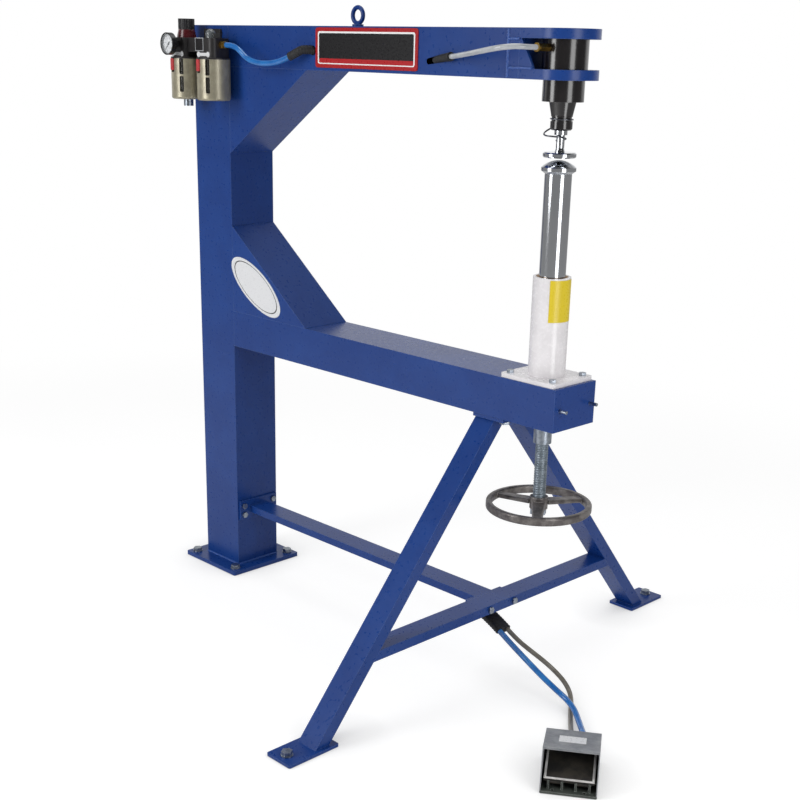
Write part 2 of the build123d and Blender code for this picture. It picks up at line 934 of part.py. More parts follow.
# Lifting screw in its nut, under the post, with the handwheel
nut_bottom = lower_arm_bottom - nut_length
with BuildPart() as screw_nut:
    with BuildSketch(Plane.XY.offset(nut_bottom)):
        with Locations((post_x, 0)):
            Circle(nut_diameter / 2)
    extrude(amount=nut_length)
    with BuildSketch(Plane.XY.offset(lower_arm_bottom)):
        with Locations((post_x, 0)):
            Circle(nut_spigot / 2)
    extrude(amount=nut_spigot_height)
    with BuildSketch(Plane.XY.offset(nut_bottom)):
        with Locations((post_x, 0)):
            Circle(screw_diameter / 2 + screw_clearance)
    extrude(amount=nut_length + nut_spigot_height, mode=Mode.SUBTRACT)
save("screw_nut", screw_nut)

hub_bottom = screw_bottom - hub_height
stub_bottom = hub_bottom - wheel_nut_height - stub_proud
with BuildPart() as lift_screw:
    for low, high, diameter in (
        (screw_bottom, screw_top, screw_diameter),
        (screw_top, post_bottom + pivot_length, pivot_diameter),
        (hub_bottom, screw_bottom, hub_bore),
        (stub_bottom, hub_bottom, stub_diameter),
    ):
        with BuildSketch(Plane.XY.offset(low)):
            with Locations((post_x, 0)):
                Circle(diameter / 2)
        extrude(amount=high - low)
save("lift_screw", lift_screw)

with BuildPart() as thrust_bearing:
    with BuildSketch(Plane.XY.offset(screw_top)):
        with Locations((post_x, 0)):
            Circle(bearing_diameter / 2)
            Circle(pivot_diameter / 2 + pivot_clearance, mode=Mode.SUBTRACT)
    extrude(amount=bearing_thickness)
save("thrust_bearing", thrust_bearing)

rim_top = screw_bottom - wheel_rim_drop - wheel_spoke_height / 2
rim_middle = rim_top - wheel_rim_height / 2
rim_radius = (wheel_diameter - wheel_rim_width) / 2
spoke_start = hub_diameter / 2 - wheel_spoke_root_depth
with BuildPart() as handwheel:
    with BuildSketch(turning_plane):
        with Locations((rim_radius, rim_middle)):
            RectangleRounded(wheel_rim_width, wheel_rim_height, wheel_rim_corner)
    revolve(axis=hammer_axis)
    with BuildSketch(Plane.XY.offset(hub_bottom)):
        with Locations((post_x, 0)):
            Circle(hub_diameter / 2)
    extrude(amount=hub_height)
    for i in range(wheel_spokes):
        angle = math.radians(wheel_spoke_angle + 360 * i / wheel_spokes)
        out = Vector(math.cos(angle), math.sin(angle), 0)
        across = (-out.Y, out.X, 0)
        inner = Vector(post_x, 0, hub_bottom + hub_height / 2) + out * spoke_start
        outer = Vector(post_x, 0, rim_middle) + out * rim_radius
        with BuildSketch(Plane(origin=inner, x_dir=across, z_dir=out)):
            RectangleRounded(wheel_spoke_root, wheel_spoke_height, wheel_spoke_corner)
        with BuildSketch(Plane(origin=outer, x_dir=across, z_dir=out)):
            RectangleRounded(wheel_spoke_tip, wheel_spoke_height, wheel_spoke_corner)
        loft(ruled=True)
    with BuildSketch(Plane.XY.offset(hub_bottom)):
        with Locations((post_x, 0)):
            Circle(hub_bore / 2)
    extrude(amount=hub_height, mode=Mode.SUBTRACT)
save("handwheel", handwheel)

with BuildPart() as locking_nut:
    with BuildSketch(Plane.XY.offset(hub_bottom)):
        with Locations((post_x, 0)):
            RegularPolygon(wheel_nut / 2, 6, major_radius=False)
            Circle(stub_diameter / 2, mode=Mode.SUBTRACT)
    extrude(amount=-wheel_nut_height)
save("wheel_nut", locking_nut)

# Hammer: barrel, screwed-in back head, free piston and the nose that guides the die
with BuildPart() as hammer_barrel:
    for low, high, diameter in (
        (barrel_bottom, bracket_low_top, barrel_nose_diameter),
        (bracket_low_top, bracket_top_under, barrel_diameter),
    ):
        with BuildSketch(Plane.XY.offset(low)):
            with Locations((post_x, 0)):
                Circle(diameter / 2)
        extrude(amount=high - low)
    with BuildSketch(Plane.XY.offset(barrel_bottom)):
        with Locations((post_x, 0)):
            Circle(barrel_bore / 2)
    extrude(amount=bracket_top_under - barrel_bottom, mode=Mode.SUBTRACT)
    inlet_out = Vector(math.cos(math.radians(inlet_angle)), math.sin(math.radians(inlet_angle)), 0)
    inlet_seat = Vector(post_x, 0, inlet_height) + inlet_out * (barrel_diameter / 2)
    with BuildSketch(Plane(origin=inlet_seat, z_dir=inlet_out)):
        Circle(inlet_thread / 2)
    extrude(amount=-inlet_thread_length, mode=Mode.SUBTRACT)
    with BuildSketch(Plane(origin=inlet_seat, z_dir=inlet_out)):
        Circle(air_port / 2)
    extrude(amount=-barrel_diameter / 2, mode=Mode.SUBTRACT)
save("hammer_barrel", hammer_barrel)

with BuildPart() as hammer_back_head:
    with BuildSketch(Plane.XY.offset(bracket_top_under)):
        with Locations((post_x, 0)):
            Circle(head_diameter / 2)
    extrude(amount=bracket_thickness - head_proud)
    with BuildSketch(Plane.XY.offset(bracket_top_under)):
        with Locations((post_x, 0)):
            Circle(barrel_bore / 2)
    extrude(amount=-head_spigot_height)
    with BuildSketch(Plane.XY.offset(frame_height - head_proud)):
        with Locations((post_x, 0)):
            RegularPolygon(head_socket / 2, 6, major_radius=False)
    extrude(amount=-head_socket_depth, mode=Mode.SUBTRACT)
save("hammer_back_head", hammer_back_head)

piston_bottom = barrel_bottom + nose_spigot_height + knob_gap
with BuildPart() as hammer_piston:
    with BuildSketch(Plane.XY.offset(piston_bottom)):
        with Locations((post_x, 0)):
            Circle(barrel_bore / 2 - piston_clearance)
    extrude(amount=piston_length)
save("hammer_piston", hammer_piston)

with BuildPart() as hammer_nose:
    with BuildSketch(turning_plane):
        Polygon(
            (die_shank / 2 + shank_clearance, barrel_bottom + nose_spigot_height),
            (barrel_bore / 2, barrel_bottom + nose_spigot_height),
            (barrel_bore / 2, barrel_bottom),
            (nose_top_diameter / 2, barrel_bottom),
            (nose_waist / 2, nose_waist_height),
            (nose_waist / 2, nose_groove_bottom + nose_groove_height),
            (nose_groove / 2, nose_groove_bottom + nose_groove_height),
            (nose_groove / 2, nose_groove_bottom),
            (nose_collar / 2, nose_groove_bottom),
            (nose_collar / 2, nose_bottom + nose_chamfer),
            (nose_collar / 2 - nose_chamfer, nose_bottom),
            (die_collar / 2 + die_collar_gap, nose_bottom),
            (die_collar / 2 + die_collar_gap, nose_ledge),
            (die_shank / 2 + shank_clearance, nose_ledge),
            align=None,
        )
    revolve(axis=hammer_axis)
save("hammer_nose", hammer_nose)

with BuildPart() as upper_die:
    with BuildSketch(turning_plane):
        Polygon(
            (0, die_face_height),
            (die_disc / 2 - die_edge, die_face_height),
            (die_disc / 2, die_face_height + die_edge),
            (die_disc / 2, die_face_height + die_disc_thickness - die_edge),
            (die_disc / 2 - die_edge, die_face_height + die_disc_thickness),
            (die_root / 2, die_face_height + die_disc_thickness),
            (die_neck / 2, die_face_height + die_disc_thickness + die_root_height),
            (die_neck / 2, die_collar_bottom),
            (die_collar / 2, die_collar_bottom),
            (die_collar / 2, die_collar_bottom + die_collar_height),
            (die_shank / 2, die_collar_bottom + die_collar_height),
            (die_shank / 2, die_collar_bottom + die_collar_height + die_shank_length),
            (0, die_collar_bottom + die_collar_height + die_shank_length),
            align=None,
        )
    revolve(axis=hammer_axis)
save("upper_die", upper_die)

# Retainer spring: a turn in the nose's groove, a wide loop, and a tail round the die's neck
spring_top = nose_groove_bottom + nose_groove_height / 2
spring_seat_radius = (nose_groove + spring_wire) / 2 + spring_seat_gap
spring_neck_radius = (die_neck + spring_wire) / 2 + spring_neck_gap


def spring_point(t):
    """A falling spiral that widens below the groove and closes in on the die's neck."""
    turn = t * spring_turns
    widen = (spring_loop_radius - spring_seat_radius) * smooth(0.45, 1.0, turn)
    close = (spring_loop_radius - spring_neck_radius) * smooth(1.0, 1.4, turn)
    radius = spring_seat_radius + widen - close
    drop = (
        spring_seat_drop * min(turn, 1.0)
        + spring_loop_drop * smooth(0.55, 1.1, turn)
        + spring_tail_drop * smooth(1.0, spring_turns, turn)
    )
    angle = math.radians(spring_angle + 360 * turn)
    return Vector(
        post_x + radius * math.cos(angle), radius * math.sin(angle), spring_top - drop
    )


retainer_spring = wound("retainer_spring", spring_point, spring_turns, spring_wire)
save("retainer_spring", retainer_spring)

with BuildPart() as inlet_fitting:
    with BuildSketch(Plane(origin=inlet_seat, z_dir=inlet_out)):
        Circle(inlet_thread / 2)
    extrude(amount=-inlet_thread_length)
    with BuildSketch(Plane(origin=inlet_seat + inlet_out * inlet_neck, z_dir=inlet_out)):
        RegularPolygon(inlet_body / 2, 6, major_radius=False)
    extrude(amount=inlet_reach - inlet_neck - inlet_ring_length)
    with BuildSketch(Plane(origin=inlet_seat - inlet_out * inlet_neck, z_dir=inlet_out)):
        Circle(inlet_thread / 2)
    extrude(amount=2 * inlet_neck)
    with BuildSketch(
        Plane(origin=inlet_seat + inlet_out * (inlet_reach - inlet_ring_length), z_dir=inlet_out)
    ):
        Circle(inlet_ring / 2)
    extrude(amount=inlet_ring_length)
save("inlet_fitting", inlet_fitting)


# Air unit: a filter regulator and a lubricator side by side
def air_body(x, width):
    """A head with rounded corners and flat faces, over its bowl."""
    with BuildPart() as head:
        with BuildSketch(Plane.XY.offset(air_body_bottom)):
            with Locations((x, -air_unit_out)):
                RectangleRounded(width, air_body_depth, air_body_corner)
        extrude(amount=air_body_height)
        with BuildSketch(Plane.XY.offset(air_body_bottom)):
            with Locations((x, -air_unit_out)):
                Circle(guard_diameter / 2)
        extrude(amount=air_body_skirt)
    return head.part


def facing(x, angle, height, reach):
    """A plane at a unit's axis that looks outwards at an azimuth."""
    turn = math.radians(angle)
    return Plane(
        origin=(x + reach * math.cos(turn), -air_unit_out + reach * math.sin(turn), height),
        x_dir=(-math.sin(turn), math.cos(turn), 0),
        z_dir=(math.cos(turn), math.sin(turn), 0),
    )


with BuildPart() as regulator_body:
    add(air_body(regulator_x, regulator_body_width))
    with BuildSketch(Plane.YZ.offset(regulator_x - regulator_body_width / 2)):
        with Locations((-air_unit_out, port_height)):
            Circle(port_bore / 2)
    extrude(amount=port_depth, mode=Mode.SUBTRACT)
save("regulator_body", regulator_body)

with BuildPart() as lubricator_body:
    add(air_body(lubricator_x, lubricator_body_width))
    with BuildSketch(Plane.XY.offset(air_body_top)):
        with Locations((lubricator_x + dome_offset, -air_unit_out)):
            Circle(dome_stem / 2 + stem_clearance)
    extrude(amount=-(dome_stem_length + post_socket_spare), mode=Mode.SUBTRACT)
save("lubricator_body", lubricator_body)

with BuildPart() as regulator_bonnet:
    with BuildSketch(Plane.XY.offset(air_body_top)):
        with Locations((regulator_x, -air_unit_out)):
            Circle(bonnet_bottom / 2)
    with BuildSketch(Plane.XY.offset(air_body_top + bonnet_height)):
        with Locations((regulator_x, -air_unit_out)):
            Circle(bonnet_top / 2)
    loft(ruled=True)
    with BuildSketch(Plane.XY.offset(air_body_top + bonnet_height)):
        with Locations((regulator_x, -air_unit_out)):
            Circle(bonnet_spigot / 2)
    extrude(amount=bonnet_spigot_height)
save("regulator_bonnet", regulator_bonnet)

knob_bottom = air_body_top + bonnet_height + knob_gap
with BuildPart() as regulator_knob:
    with BuildSketch(Plane.XY.offset(knob_bottom)):
        with Locations((regulator_x, -air_unit_out)):
            Circle(knob_diameter / 2)
            with PolarLocations(knob_diameter / 2, knob_ribs):
                Circle(knob_rib_depth, mode=Mode.SUBTRACT)
    extrude(amount=knob_height)
    with BuildSketch(Plane.XY.offset(knob_bottom)):
        with Locations((regulator_x, -air_unit_out)):
            Circle(bonnet_spigot / 2 + stem_clearance)
    extrude(amount=bonnet_spigot_height, mode=Mode.SUBTRACT)
save("regulator_knob", regulator_knob)

with BuildPart() as gauge_case:
    with BuildSketch(Plane.XZ.offset(regulator_face)):
        with Locations((regulator_x, port_height)):
            Circle(gauge_stem / 2)
    extrude(amount=gauge_standoff)
    with BuildSketch(Plane.XZ.offset(gauge_back)):
        with Locations((regulator_x, port_height)):
            Circle(gauge_diameter / 2)
    extrude(amount=gauge_depth)
    with BuildSketch(Plane.XZ.offset(gauge_front)):
        with Locations((regulator_x, port_height)):
            Circle(gauge_diameter / 2 - gauge_rim)
    extrude(amount=-gauge_recess, mode=Mode.SUBTRACT)
    with BuildSketch(Plane.XZ.offset(gauge_front - gauge_recess)):
        with Locations((regulator_x, port_height)):
            Circle(needle_pin / 2)
    extrude(amount=needle_pin_length)
save("gauge_case", gauge_case)

turn = math.radians(needle_angle)
needle_plane = Plane(
    origin=(regulator_x, -(gauge_front - gauge_recess + needle_gap), port_height),
    x_dir=(math.cos(turn), 0, math.sin(turn)),
    z_dir=(0, -1, 0),
)
with BuildPart() as gauge_needle:
    with BuildSketch(needle_plane):
        Polygon(
            (-needle_tail, -needle_width / 2),
            (needle_length, -needle_width / 6),
            (needle_length, needle_width / 6),
            (-needle_tail, needle_width / 2),
            align=None,
        )
        Circle(needle_hub / 2)
        Circle(needle_pin / 2 + stem_clearance, mode=Mode.SUBTRACT)
    extrude(amount=needle_thickness)
save("gauge_needle", gauge_needle)

with BuildPart() as gauge_lens:
    with BuildSketch(Plane.XZ.offset(gauge_front - gauge_lens_inset)):
        with Locations((regulator_x, port_height)):
            Circle(gauge_diameter / 2 - gauge_rim)
    extrude(amount=-gauge_lens_thickness)
save("gauge_lens", gauge_lens)

guard_inside = guard_bottom + guard_wall
with BuildPart() as bowl_guards:
    for x in (regulator_x, lubricator_x):
        with BuildSketch(Plane.XY.offset(guard_bottom)):
            with Locations((x, -air_unit_out)):
                Circle(guard_diameter / 2)
        extrude(amount=guard_height)
    fillet(bowl_guards.edges().group_by(Axis.Z)[0], guard_corner)
    for x in (regulator_x, lubricator_x):
        with BuildSketch(Plane.XY.offset(guard_inside)):
            with Locations((x, -air_unit_out)):
                Circle(guard_diameter / 2 - guard_wall)
        extrude(amount=guard_height, mode=Mode.SUBTRACT)
        with BuildSketch(Plane.XY.offset(guard_bottom)):
            with Locations((x, -air_unit_out)):
                Circle(guard_base_hole / 2)
        extrude(amount=guard_wall, mode=Mode.SUBTRACT)
        for row in range(2):
            middle = guard_bottom + window_bottom + window_height / 2
            middle += row * window_pitch
            with BuildSketch(facing(x, window_angle, middle, 0)):
                RectangleRounded(window_width, window_height, window_corner)
            extrude(amount=guard_diameter, both=True, mode=Mode.SUBTRACT)
        with BuildSketch(facing(x, latch_angle, air_body_bottom, bowl_diameter / 2)):
            Rectangle(
                latch_width + 2 * latch_clearance,
                2 * (latch_height + latch_travel + 2 * latch_clearance),
            )
        extrude(amount=guard_diameter / 2, mode=Mode.SUBTRACT)
save("bowl_guards", bowl_guards)

with BuildPart() as inner_bowls:
    for x in (regulator_x, lubricator_x):
        with BuildSketch(Plane.XY.offset(guard_inside + bowl_gap)):
            with Locations((x, -air_unit_out)):
                Circle(bowl_diameter / 2)
        extrude(amount=guard_height - guard_wall - bowl_gap)
        with BuildSketch(Plane.XY.offset(guard_inside + bowl_gap + bowl_wall)):
            with Locations((x, -air_unit_out)):
                Circle(bowl_diameter / 2 - bowl_wall)
        extrude(amount=guard_height - guard_wall - bowl_gap - bowl_wall, mode=Mode.SUBTRACT)
    with BuildSketch(Plane.XY.offset(guard_inside + bowl_gap)):
        with Locations((regulator_x, -air_unit_out)):
            Circle(drain_stem / 2 + stem_clearance)
    extrude(amount=bowl_wall, mode=Mode.SUBTRACT)
save("inner_bowls", inner_bowls)


def latch(x):
    """A sprung catch in the guard's slot, with a finger ridge."""
    top = air_body_bottom - latch_clearance
    middle = top - latch_height / 2
    reach = guard_diameter / 2 + latch_proud - latch_depth
    with BuildPart() as catch:
        with BuildSketch(facing(x, latch_angle, middle, reach)):
            RectangleRounded(latch_width, latch_height, latch_corner)
        extrude(amount=latch_depth)
        with BuildSketch(facing(x, latch_angle, middle - latch_height / 4, reach)):
            Rectangle(latch_width - 2 * latch_corner, latch_corner)
        extrude(amount=latch_depth + latch_corner / 2)
    return catch


filter_latch = latch(regulator_x)
save("filter_latch", filter_latch)
lubricator_latch = latch(lubricator_x)
save("lubricator_latch", lubricator_latch)

with BuildPart() as drain_cock:
    with BuildSketch(Plane.XY.offset(guard_bottom - drain_gap)):
        with Locations((regulator_x, -air_unit_out)):
            Circle(drain_diameter / 2)
    extrude(amount=-drain_height)
    with BuildSketch(Plane.XY.offset(guard_bottom - drain_gap)):
        with Locations((regulator_x, -air_unit_out)):
            Circle(drain_stem / 2)
    extrude(amount=drain_gap + guard_wall + bowl_gap + bowl_wall + latch_clearance)
save("drain_cock", drain_cock)

with BuildPart() as sight_dome:
    with BuildSketch(Plane.XY.offset(air_body_top + knob_gap)):
        with Locations((lubricator_x + dome_offset, -air_unit_out)):
            Circle(dome_diameter / 2)
    extrude(amount=dome_skirt)
    with Locations((lubricator_x + dome_offset, -air_unit_out, air_body_top + dome_skirt)):
        Sphere(dome_diameter / 2, arc_size1=0, align=(Align.CENTER, Align.CENTER, Align.MIN))
    with BuildSketch(Plane.XY.offset(air_body_top + knob_gap)):
        with Locations((lubricator_x + dome_offset, -air_unit_out)):
            Circle(dome_stem / 2)
    extrude(amount=-dome_stem_length)
save("sight_dome", sight_dome)

with BuildPart() as filler_plug:
    with BuildSketch(Plane.XY.offset(air_body_top)):
        with Locations((lubricator_x + filler_offset, -air_unit_out)):
            RegularPolygon(filler_diameter / 2, 6, major_radius=False)
    extrude(amount=filler_height)
save("filler_plug", filler_plug)

lubricator_side = lubricator_x + lubricator_body_width / 2
with BuildPart() as outlet_fitting:
    with BuildSketch(Plane.YZ.offset(lubricator_side)):
        with Locations((-air_unit_out, port_height)):
            RegularPolygon(outlet_nut / 2, 6, major_radius=False)
    extrude(amount=outlet_nut_length)
    with BuildSketch(Plane.YZ.offset(lubricator_side)):
        with Locations((-air_unit_out, port_height)):
            Circle(outlet_diameter / 2)
    extrude(amount=outlet_length)
save("outlet_fitting", outlet_fitting)

# Bracket: a spacer between the two heads, carried on a plate against the frame
spacer_left = regulator_x + regulator_body_width / 2
spacer_right = lubricator_x - lubricator_body_width / 2
spacer_middle = (spacer_left + spacer_right) / 2
spacer_level = air_body_top - spacer_height / 2
with BuildPart() as unit_bracket:
    with BuildSketch(Plane.XY.offset(air_body_top - spacer_height)):
        with Locations((spacer_middle, -air_unit_out)):
            Rectangle(spacer_right - spacer_left, spacer_depth)
        with Locations((spacer_middle, -(half_width + air_unit_out) / 2)):
            Rectangle(bracket_arm_width, air_unit_out - half_width)
    extrude(amount=spacer_height)
    with BuildSketch(near_side):
        with Locations((spacer_middle, spacer_level)):
            RectangleRounded(wall_plate_width, wall_plate_height, foot_corner)
    extrude(amount=wall_plate_thickness)
    with BuildSketch(Plane.XZ.offset(half_width + wall_plate_thickness)):
        with Locations(
            (spacer_middle, spacer_level - wall_plate_height / 2 + anchor_thread),
            (spacer_middle, spacer_level + wall_plate_height / 2 - anchor_thread),
        ):
            RegularPolygon(small_bolt_head / 2, 6, major_radius=False)
    extrude(amount=small_bolt_head_height)
save("unit_bracket", unit_bracket)

# Foot pedal: its own plane on the floor, x across its width and y to its back
pedal_angle = math.radians(pedal_turn)
pedal_across = Vector(math.cos(pedal_angle), math.sin(pedal_angle), 0)
pedal_back = Vector(-math.sin(pedal_angle), math.cos(pedal_angle), 0)
pedal_floor = Plane(origin=(pedal_x, pedal_y, 0), x_dir=pedal_across, z_dir=(0, 0, 1))
pedal_side = Plane(origin=(pedal_x, pedal_y, 0), x_dir=pedal_back, z_dir=pedal_across)
pin_y = treadle_pin_setback - pedal_length / 2
ear_reach = treadle_knuckle_length / 2 + ear_gap + ear_thickness / 2


def pedal_point(x, y, z):
    """A place in the pedal's own plane, in the frame."""
    return tuple(Vector(pedal_x, pedal_y, z) + pedal_across * x + pedal_back * y)


def pedal_front(height):
    """How far forward the guard's leaning front stands at a height."""
    share = (height - pedal_base_thickness) / (pedal_lip_height - pedal_base_thickness)
    return -pedal_length / 2 + pedal_lip_setback * share


ear_places = [
    side * treadle_knuckle_pitch / 2 + turn * ear_reach for side in (-1, 1) for turn in (-1, 1)
]
with BuildPart() as pedal_base:
    with BuildSketch(pedal_floor):
        RectangleRounded(pedal_width, pedal_length, pedal_base_corner)
        with Locations(
            (-pedal_screw_pitch / 2, pedal_screw_inset - pedal_length / 2),
            (pedal_screw_pitch / 2, pedal_screw_inset - pedal_length / 2),
        ):
            Circle(pedal_screw_hole / 2, mode=Mode.SUBTRACT)
    extrude(amount=pedal_base_thickness)
    for place in ear_places:
        with BuildSketch(pedal_side.offset(place - ear_thickness / 2)):
            with Locations((pin_y, pedal_base_thickness)):
                Rectangle(
                    ear_width,
                    treadle_pin_height - pedal_base_thickness,
                    align=(Align.CENTER, Align.MIN),
                )
            with Locations((pin_y, treadle_pin_height)):
                Circle(ear_width / 2)
                Circle(treadle_pin_diameter / 2 + pin_clearance, mode=Mode.SUBTRACT)
        extrude(amount=ear_thickness)
save("pedal_base", pedal_base)

lip_under = pedal_lip_height - pedal_lip_fold
with BuildPart() as pedal_guard:
    with BuildSketch(pedal_side):
        Polygon(
            (pedal_front(pedal_base_thickness), pedal_base_thickness),
            (pedal_length / 2, pedal_base_thickness),
            (pedal_length / 2, pedal_back_height),
            (pedal_front(pedal_lip_height), pedal_lip_height),
            align=None,
        )
    extrude(amount=pedal_width / 2, both=True)
    with BuildSketch(pedal_side):
        Polygon(
            (pedal_front(pedal_base_thickness) - pedal_sheet, pedal_base_thickness),
            (pedal_length / 2 - pedal_sheet, pedal_base_thickness),
            (pedal_length / 2 - pedal_sheet, pedal_back_height - pedal_sheet),
            (pedal_front(pedal_lip_height) + pedal_sheet, pedal_lip_height - pedal_sheet),
            (pedal_front(lip_under) + pedal_sheet, lip_under),
            (pedal_front(lip_under) - pedal_sheet, lip_under),
            align=None,
        )
    extrude(amount=pedal_width / 2 - pedal_sheet, both=True, mode=Mode.SUBTRACT)
    with BuildSketch(Plane(origin=pedal_point(0, 0, 0), x_dir=pedal_across, z_dir=-pedal_back)):
        with Locations((supply_entry, hose_entry_height), (return_entry, hose_entry_height)):
            Circle(valve_port / 2 + valve_port_clearance)
    extrude(amount=-pedal_length, mode=Mode.SUBTRACT)
save("pedal_guard", pedal_guard)

treadle_turn = math.radians(treadle_slope)
treadle_way = pedal_back * math.cos(treadle_turn) + Vector(0, 0, math.sin(treadle_turn))
treadle_plane = Plane(
    origin=pedal_point(0, pin_y, treadle_pin_height), x_dir=treadle_way, z_dir=pedal_across
)
treadle_under = treadle_knuckle / 2 - treadle_thickness / 2
with BuildPart() as treadle:
    with BuildSketch(treadle_plane):
        Polygon(
            (-treadle_front, treadle_under),
            (treadle_length, treadle_under),
            (treadle_length, treadle_under + treadle_thickness),
            (-treadle_front, treadle_under + treadle_thickness),
            align=None,
        )
    extrude(amount=treadle_width / 2, both=True)
    for side in (-1, 1):
        centre = side * treadle_knuckle_pitch / 2
        with BuildSketch(treadle_plane.offset(centre - treadle_knuckle_length / 2)):
            Circle(treadle_knuckle / 2)
        extrude(amount=treadle_knuckle_length)
    with BuildSketch(treadle_plane):
        Circle(treadle_pin_diameter / 2 + pin_clearance)
    extrude(amount=treadle_width, both=True, mode=Mode.SUBTRACT)
    for place in ear_places:
        with BuildSketch(treadle_plane.offset(place - ear_thickness / 2 - ear_gap)):
            Circle(ear_width / 2 + ear_gap)
        extrude(amount=ear_thickness + 2 * ear_gap, mode=Mode.SUBTRACT)
save("treadle", treadle)

with BuildPart() as treadle_pin:
    with BuildSketch(treadle_plane):
        Circle(treadle_pin_diameter / 2)
    extrude(amount=treadle_knuckle_pitch / 2 + ear_reach + ear_thickness, both=True)
save("treadle_pin", treadle_pin)


def under_treadle(y, slope):
    """The height of the treadle's underside at a place, at a slope in degrees."""
    lean = math.radians(slope)
    return treadle_pin_height + (y - pin_y) * math.tan(lean) + treadle_under / math.cos(lean)


valve_back = pedal_length / 2 - pedal_sheet
plunger_tip = (
    under_treadle(0, treadle_slope)
    - (plunger_diameter / 2 + plunger_gap) / math.cos(treadle_turn)
)
with BuildPart() as pedal_valve:
    with BuildSketch(pedal_floor.offset(pedal_base_thickness)):
        with Locations((0, (valve_front + valve_back) / 2)):
            RectangleRounded(valve_width, valve_back - valve_front, foot_corner)
    extrude(amount=valve_height - pedal_base_thickness)
    with BuildSketch(pedal_floor.offset(pedal_base_thickness)):
        with Locations((0, (valve_front + foot_corner - valve_nose_reach) / 2)):
            Rectangle(valve_nose_width, valve_front + foot_corner + valve_nose_reach)
    extrude(amount=valve_nose_height)
    with BuildSketch(pedal_floor.offset(pedal_base_thickness)):
        Circle(plunger_diameter / 2 + plunger_clearance)
    extrude(amount=valve_nose_height, mode=Mode.SUBTRACT)
    with BuildSketch(
        Plane(origin=pedal_point(0, valve_back, 0), x_dir=-pedal_across, z_dir=pedal_back)
    ):
        with Locations((-supply_entry, hose_entry_height), (-return_entry, hose_entry_height)):
            Circle(valve_port / 2)
    extrude(amount=pedal_sheet + valve_port_proud)
save("pedal_valve", pedal_valve)

with BuildPart() as valve_plunger:
    with BuildSketch(pedal_floor.offset(plunger_tip - plunger_length)):
        Circle(plunger_diameter / 2)
    extrude(amount=plunger_length)
    with Locations(pedal_point(0, 0, plunger_tip)):
        Sphere(plunger_diameter / 2)
save("valve_plunger", valve_plunger)

spring_y = pin_y + treadle_spring_setback
spring_low = pedal_base_thickness + treadle_spring_wire / 2 + treadle_spring_gap
spring_high = (
    under_treadle(spring_y - treadle_spring_radius, treadle_slope)
    - treadle_spring_wire / 2
    - treadle_spring_wire
)


def treadle_spring_point(t):
    """A plain helix that stands on the base."""
    angle = 2 * math.pi * treadle_spring_turns * t
    x, y, z = pedal_point(
        treadle_spring_radius * math.cos(angle),
        spring_y + treadle_spring_radius * math.sin(angle),
        spring_low + (spring_high - spring_low) * t,
    )
    return Vector(x, y, z)


treadle_spring = wound(
    "treadle_spring", treadle_spring_point, treadle_spring_turns, treadle_spring_wire
)
save("treadle_spring", treadle_spring)

# Air line along the arm's side: two stretches of hose and the sleeves that hold their ends
air_hose_points = [
    (lubricator_side + outlet_length, -air_unit_out, port_height),
    below_top(134, -104, 42),
    below_top(158, -103.5, 51),
    below_top(178, -102, 67),
    below_top(203, -99.5, 75.5),
    below_top(234, -96, 78),
    below_top(264, -92.5, 75.5),
    below_top(288, -89, 70),
    below_top(308, -86, 62),
]
air_hose = hose("air_hose", air_hose_points, air_hose_bore)
save("air_hose", air_hose)

inlet_mouth = inlet_seat + inlet_out * inlet_reach
hammer_hose_points = [
    below_top(764.6, -73, 53),
    below_top(803, -85, 49.5),
    below_top(842, -101, 45.5),
    below_top(879, -118, 42),
    below_top(914, -126, 37.5),
    below_top(937.5, -123.5, 34),
    below_top(957, -112, 32),
    tuple(inlet_mouth + inlet_out * hammer_hose_lead),
    tuple(inlet_mouth),
]
hammer_hose = hose("hammer_hose", hammer_hose_points, hammer_hose_bore)
save("hammer_hose", hammer_hose)

air_end = air_hose_points[-1]
air_sleeve_points = [
    air_end,
    step_back(air_end, air_hose_points[-2], arm_sleeve_end_run),
    below_top(342, -78, 45.5),
    below_top(357, -half_width + arm_sleeve / 2, 49),
]
hammer_start = hammer_hose_points[0]
hammer_sleeve_points = [
    hammer_start,
    step_back(hammer_start, hammer_hose_points[1], arm_grommet_end_run),
    below_top(712, -half_width, 60),
    below_top(694, -half_width + arm_grommet, 63),
]
stand_sleeve_middle = stretcher_bottom - stand_sleeve_height / 2
stand_sleeve_points = [
    (stand_sleeve_start, -8, stand_sleeve_middle),
    (stand_sleeve_bend, -12, stand_sleeve_middle),
    stand_sleeve_end,
]
stand_way = (Vector(*stand_sleeve_end) - Vector(*stand_sleeve_points[1])).normalized()
stand_across = Vector(-stand_way.Y, stand_way.X, 0).normalized()
with BuildPart() as hose_sleeves:
    for points, diameter in (
        (air_sleeve_points, arm_sleeve),
        (hammer_sleeve_points, arm_grommet),
    ):
        with BuildLine() as route:
            FilletPolyline(*points, radius=corner_radii(points))
        with BuildSketch(Plane(origin=route.wire() @ 0, z_dir=route.wire() % 0)):
            Circle(diameter / 2)
        sweep(path=route.wire())
    with BuildSketch(Plane.XZ.offset(half_width)):
        with Locations((upper_arm_end / 2, frame_height - upper_arm_depth / 2)):
            Rectangle(upper_arm_end, upper_arm_depth)
    extrude(amount=-half_width, mode=Mode.SUBTRACT)
    with BuildLine() as route:
        FilletPolyline(*stand_sleeve_points, radius=corner_radii(stand_sleeve_points))
    start = route.wire() % 0
    with BuildSketch(
        Plane(origin=route.wire() @ 0, x_dir=(-start.Y, start.X, 0), z_dir=start)
    ):
        RectangleRounded(stand_sleeve_width, stand_sleeve_height, stand_sleeve_corner)
    sweep(path=route.wire())
save("hose_sleeves", hose_sleeves)

